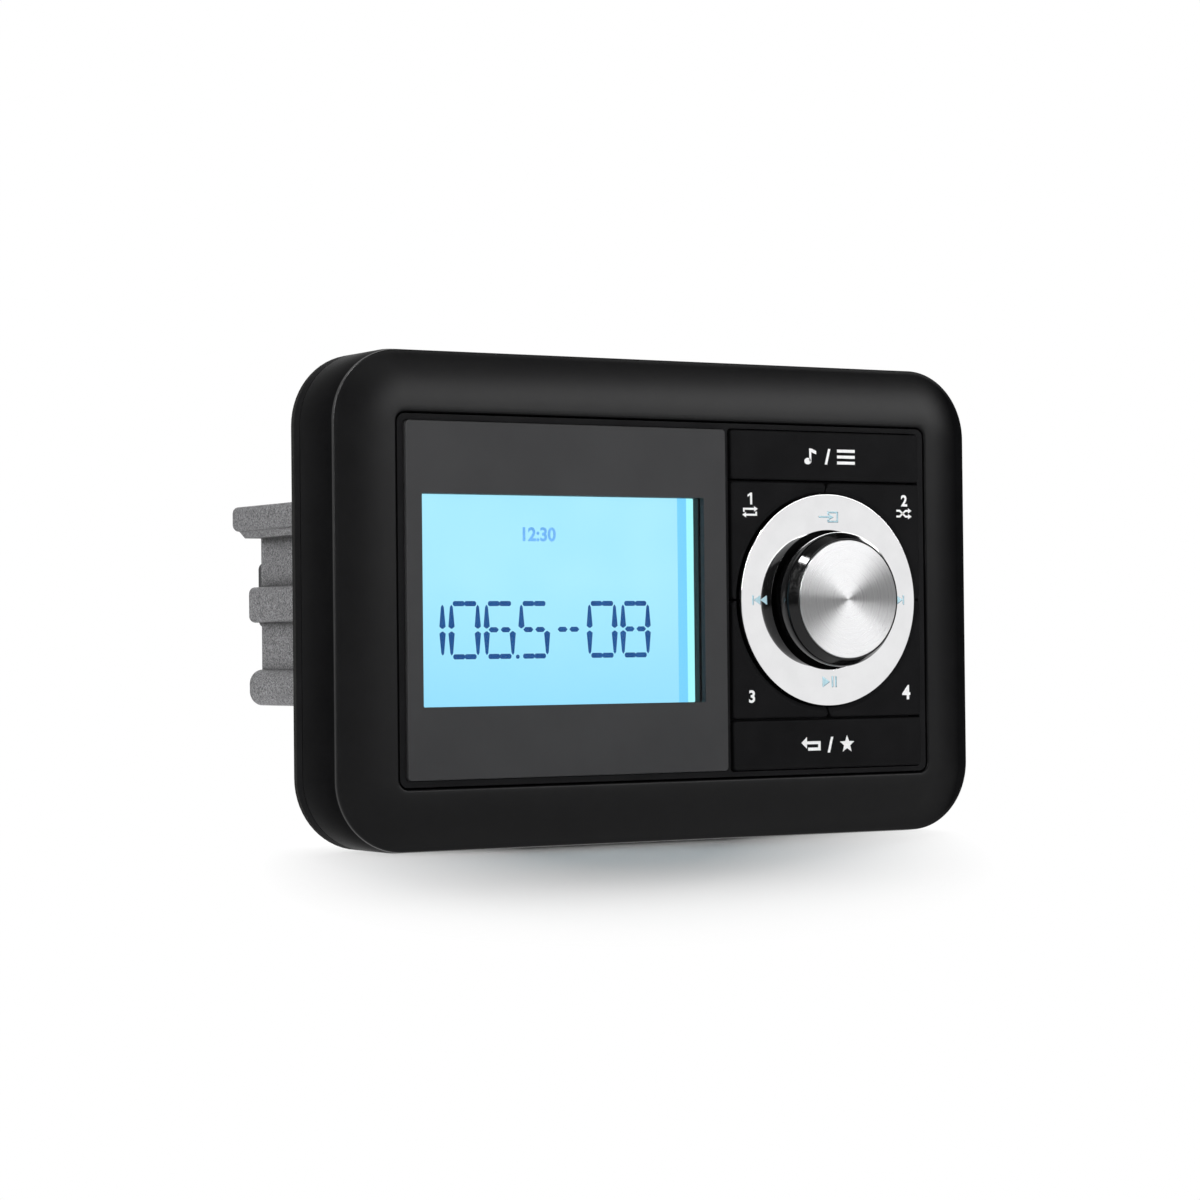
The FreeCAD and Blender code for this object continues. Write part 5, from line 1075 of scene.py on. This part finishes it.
def pale_floor():
    """Matt near-white that goes over to plain white, and dims far off in reflections."""
    finish = bpy.data.materials.new("pale_floor")
    finish.use_nodes = True
    tree = finish.node_tree
    tree.nodes.remove(tree.nodes["Principled BSDF"])
    seen = tree.nodes.new("ShaderNodeLightPath").outputs
    straight = sums(tree, "MAXIMUM", seen["Is Camera Ray"], seen["Is Glossy Ray"],
                    seen["Is Transmission Ray"])
    matt = step(tree, "ShaderNodeBsdfDiffuse", {"Color": (0.9, 0.9, 0.9, 1.0)})[0]
    lift = sums(tree, "MULTIPLY", straight, 0.02)
    lit = step(tree, "ShaderNodeEmission", {"Color": WHITE, "Strength": lift})[0]
    near = step(tree, "ShaderNodeAddShader", {0: matt, 1: lit})[0]
    place = tree.nodes.new("ShaderNodeTexCoord").outputs["Object"]
    reach = step(tree, "ShaderNodeVectorMath", {0: place}, operation="LENGTH")["Value"]
    outward = step(tree, "ShaderNodeVectorMath", {0: moved(tree, place, offset=-RING_PLACE)},
                   operation="NORMALIZE")["Vector"]
    off_sheets = sums(tree, "SUBTRACT", 1.0, sheet_share(tree, outward))
    dimmed = sums(tree, "MULTIPLY", seen["Is Glossy Ray"],
                  ranged(tree, reach, 0.2, 0.5, 0.0, 0.8), off_sheets)
    strength = sums(tree, "SUBTRACT", 1.0, dimmed)
    white = step(tree, "ShaderNodeEmission", {"Color": WHITE, "Strength": strength})[0]
    oval = vector(tree, product(tree, place, FORWARD), product(tree, place, SIDEWAYS))
    away = step(tree, "ShaderNodeVectorMath", {0: oval}, operation="LENGTH")["Value"]
    fade = sums(tree, "MULTIPLY", ranged(tree, away, 0.3, 1.0), straight)
    fade = sums(tree, "MAXIMUM", fade, seen["Is Glossy Ray"])
    mixed = step(tree, "ShaderNodeMixShader", {0: fade, 1: near, 2: white})[0]
    tree.links.new(mixed, tree.nodes["Material Output"].inputs["Surface"])
    return finish


floor_mesh = bpy.data.meshes.new("floor")
floor_mesh.from_pydata([(x * FLOOR_REACH, y * FLOOR_REACH, 0)
                        for x, y in ((-1, -1), (1, -1), (1, 1), (-1, 1))], [], [(0, 1, 2, 3)])
floor_mesh.materials.append(pale_floor())
floor = bpy.data.objects.new("floor", floor_mesh)
floor.location = (0.0, 0.0, FLOOR_Z)
scene.collection.objects.link(floor)


# Lamps and surround: matt lamps light the stereo, and the one behind throws its shadow forward.
# Other lamps show only as highlights. Bright metal also sees a white surround behind the stereo
# and the white sheets, in a room that is dim elsewhere.

LAMPS_AIM = Vector((0.02, -0.02, 0.0))
ROOM_LIGHT = 0.18


def soft_lamp(name, azimuth, elevation, distance, width, height, watts):
    """Flat lamp that faces the stereo. Its azimuth runs to the right from straight in front."""
    light = bpy.data.lights.new(name, "AREA")
    light.shape = "RECTANGLE"
    light.size = width
    light.size_y = height
    light.energy = watts
    lamp = bpy.data.objects.new(name, light)
    turn = math.radians(azimuth)
    rise = math.radians(elevation)
    away = Vector((math.sin(turn) * math.cos(rise), -math.cos(turn) * math.cos(rise),
                   math.sin(rise)))
    lamp.location = LAMPS_AIM + away * distance
    lamp.rotation_euler = away.to_track_quat("Z", "Y").to_euler()
    scene.collection.objects.link(lamp)
    return lamp


matt_lamps = (("front_lamp", -8, 4, 1.4, 0.9, 0.3, 11.0),
              ("left_lamp", -95, 12, 1.2, 0.5, 0.4, 6.8),
              ("back_lamp", 148, 30, 1.1, 0.9, 0.4, 30.0))
highlight_lamps = (("cap_lamp", 39, 19, 1.2, 1.0, 0.4, 8.8),
                   ("ceiling_lamp", 0, 46, 1.3, 1.0, 0.5, 2.0),
                   ("wide_lamp", 14, 11, 1.2, 0.4, 0.3, 1.3),
                   ("left_strip_lamp", -70, 28, 1.0, 0.16, 0.7, 10.0),
                   ("spot_lamp", -80, 60, 0.9, 0.08, 0.12, 4.0))
for settings in matt_lamps:
    soft_lamp(*settings).visible_glossy = False
for settings in highlight_lamps:
    soft_lamp(*settings).visible_diffuse = False

world = bpy.data.worlds.new("white_surround")
scene.world = world
world.use_nodes = True
surround = world.node_tree
seen = surround.nodes.new("ShaderNodeLightPath").outputs
heading = surround.nodes.new("ShaderNodeTexCoord").outputs["Generated"]
behind = ranged(surround, product(surround, heading, (0.0, 1.0, 0.0)), 0.0, 0.4)
white_part = sums(surround, "MAXIMUM", behind, sheet_share(surround, heading))
reflected = sums(surround, "MULTIPLY", seen["Is Glossy Ray"], white_part)
straight = sums(surround, "MAXIMUM", seen["Is Camera Ray"], reflected,
                seen["Is Transmission Ray"])
background = surround.nodes["Background"]
background.inputs["Color"].default_value = WHITE
surround.links.new(ranged(surround, straight, 0.0, 1.0, ROOM_LIGHT, 1.0),
                   background.inputs["Strength"])
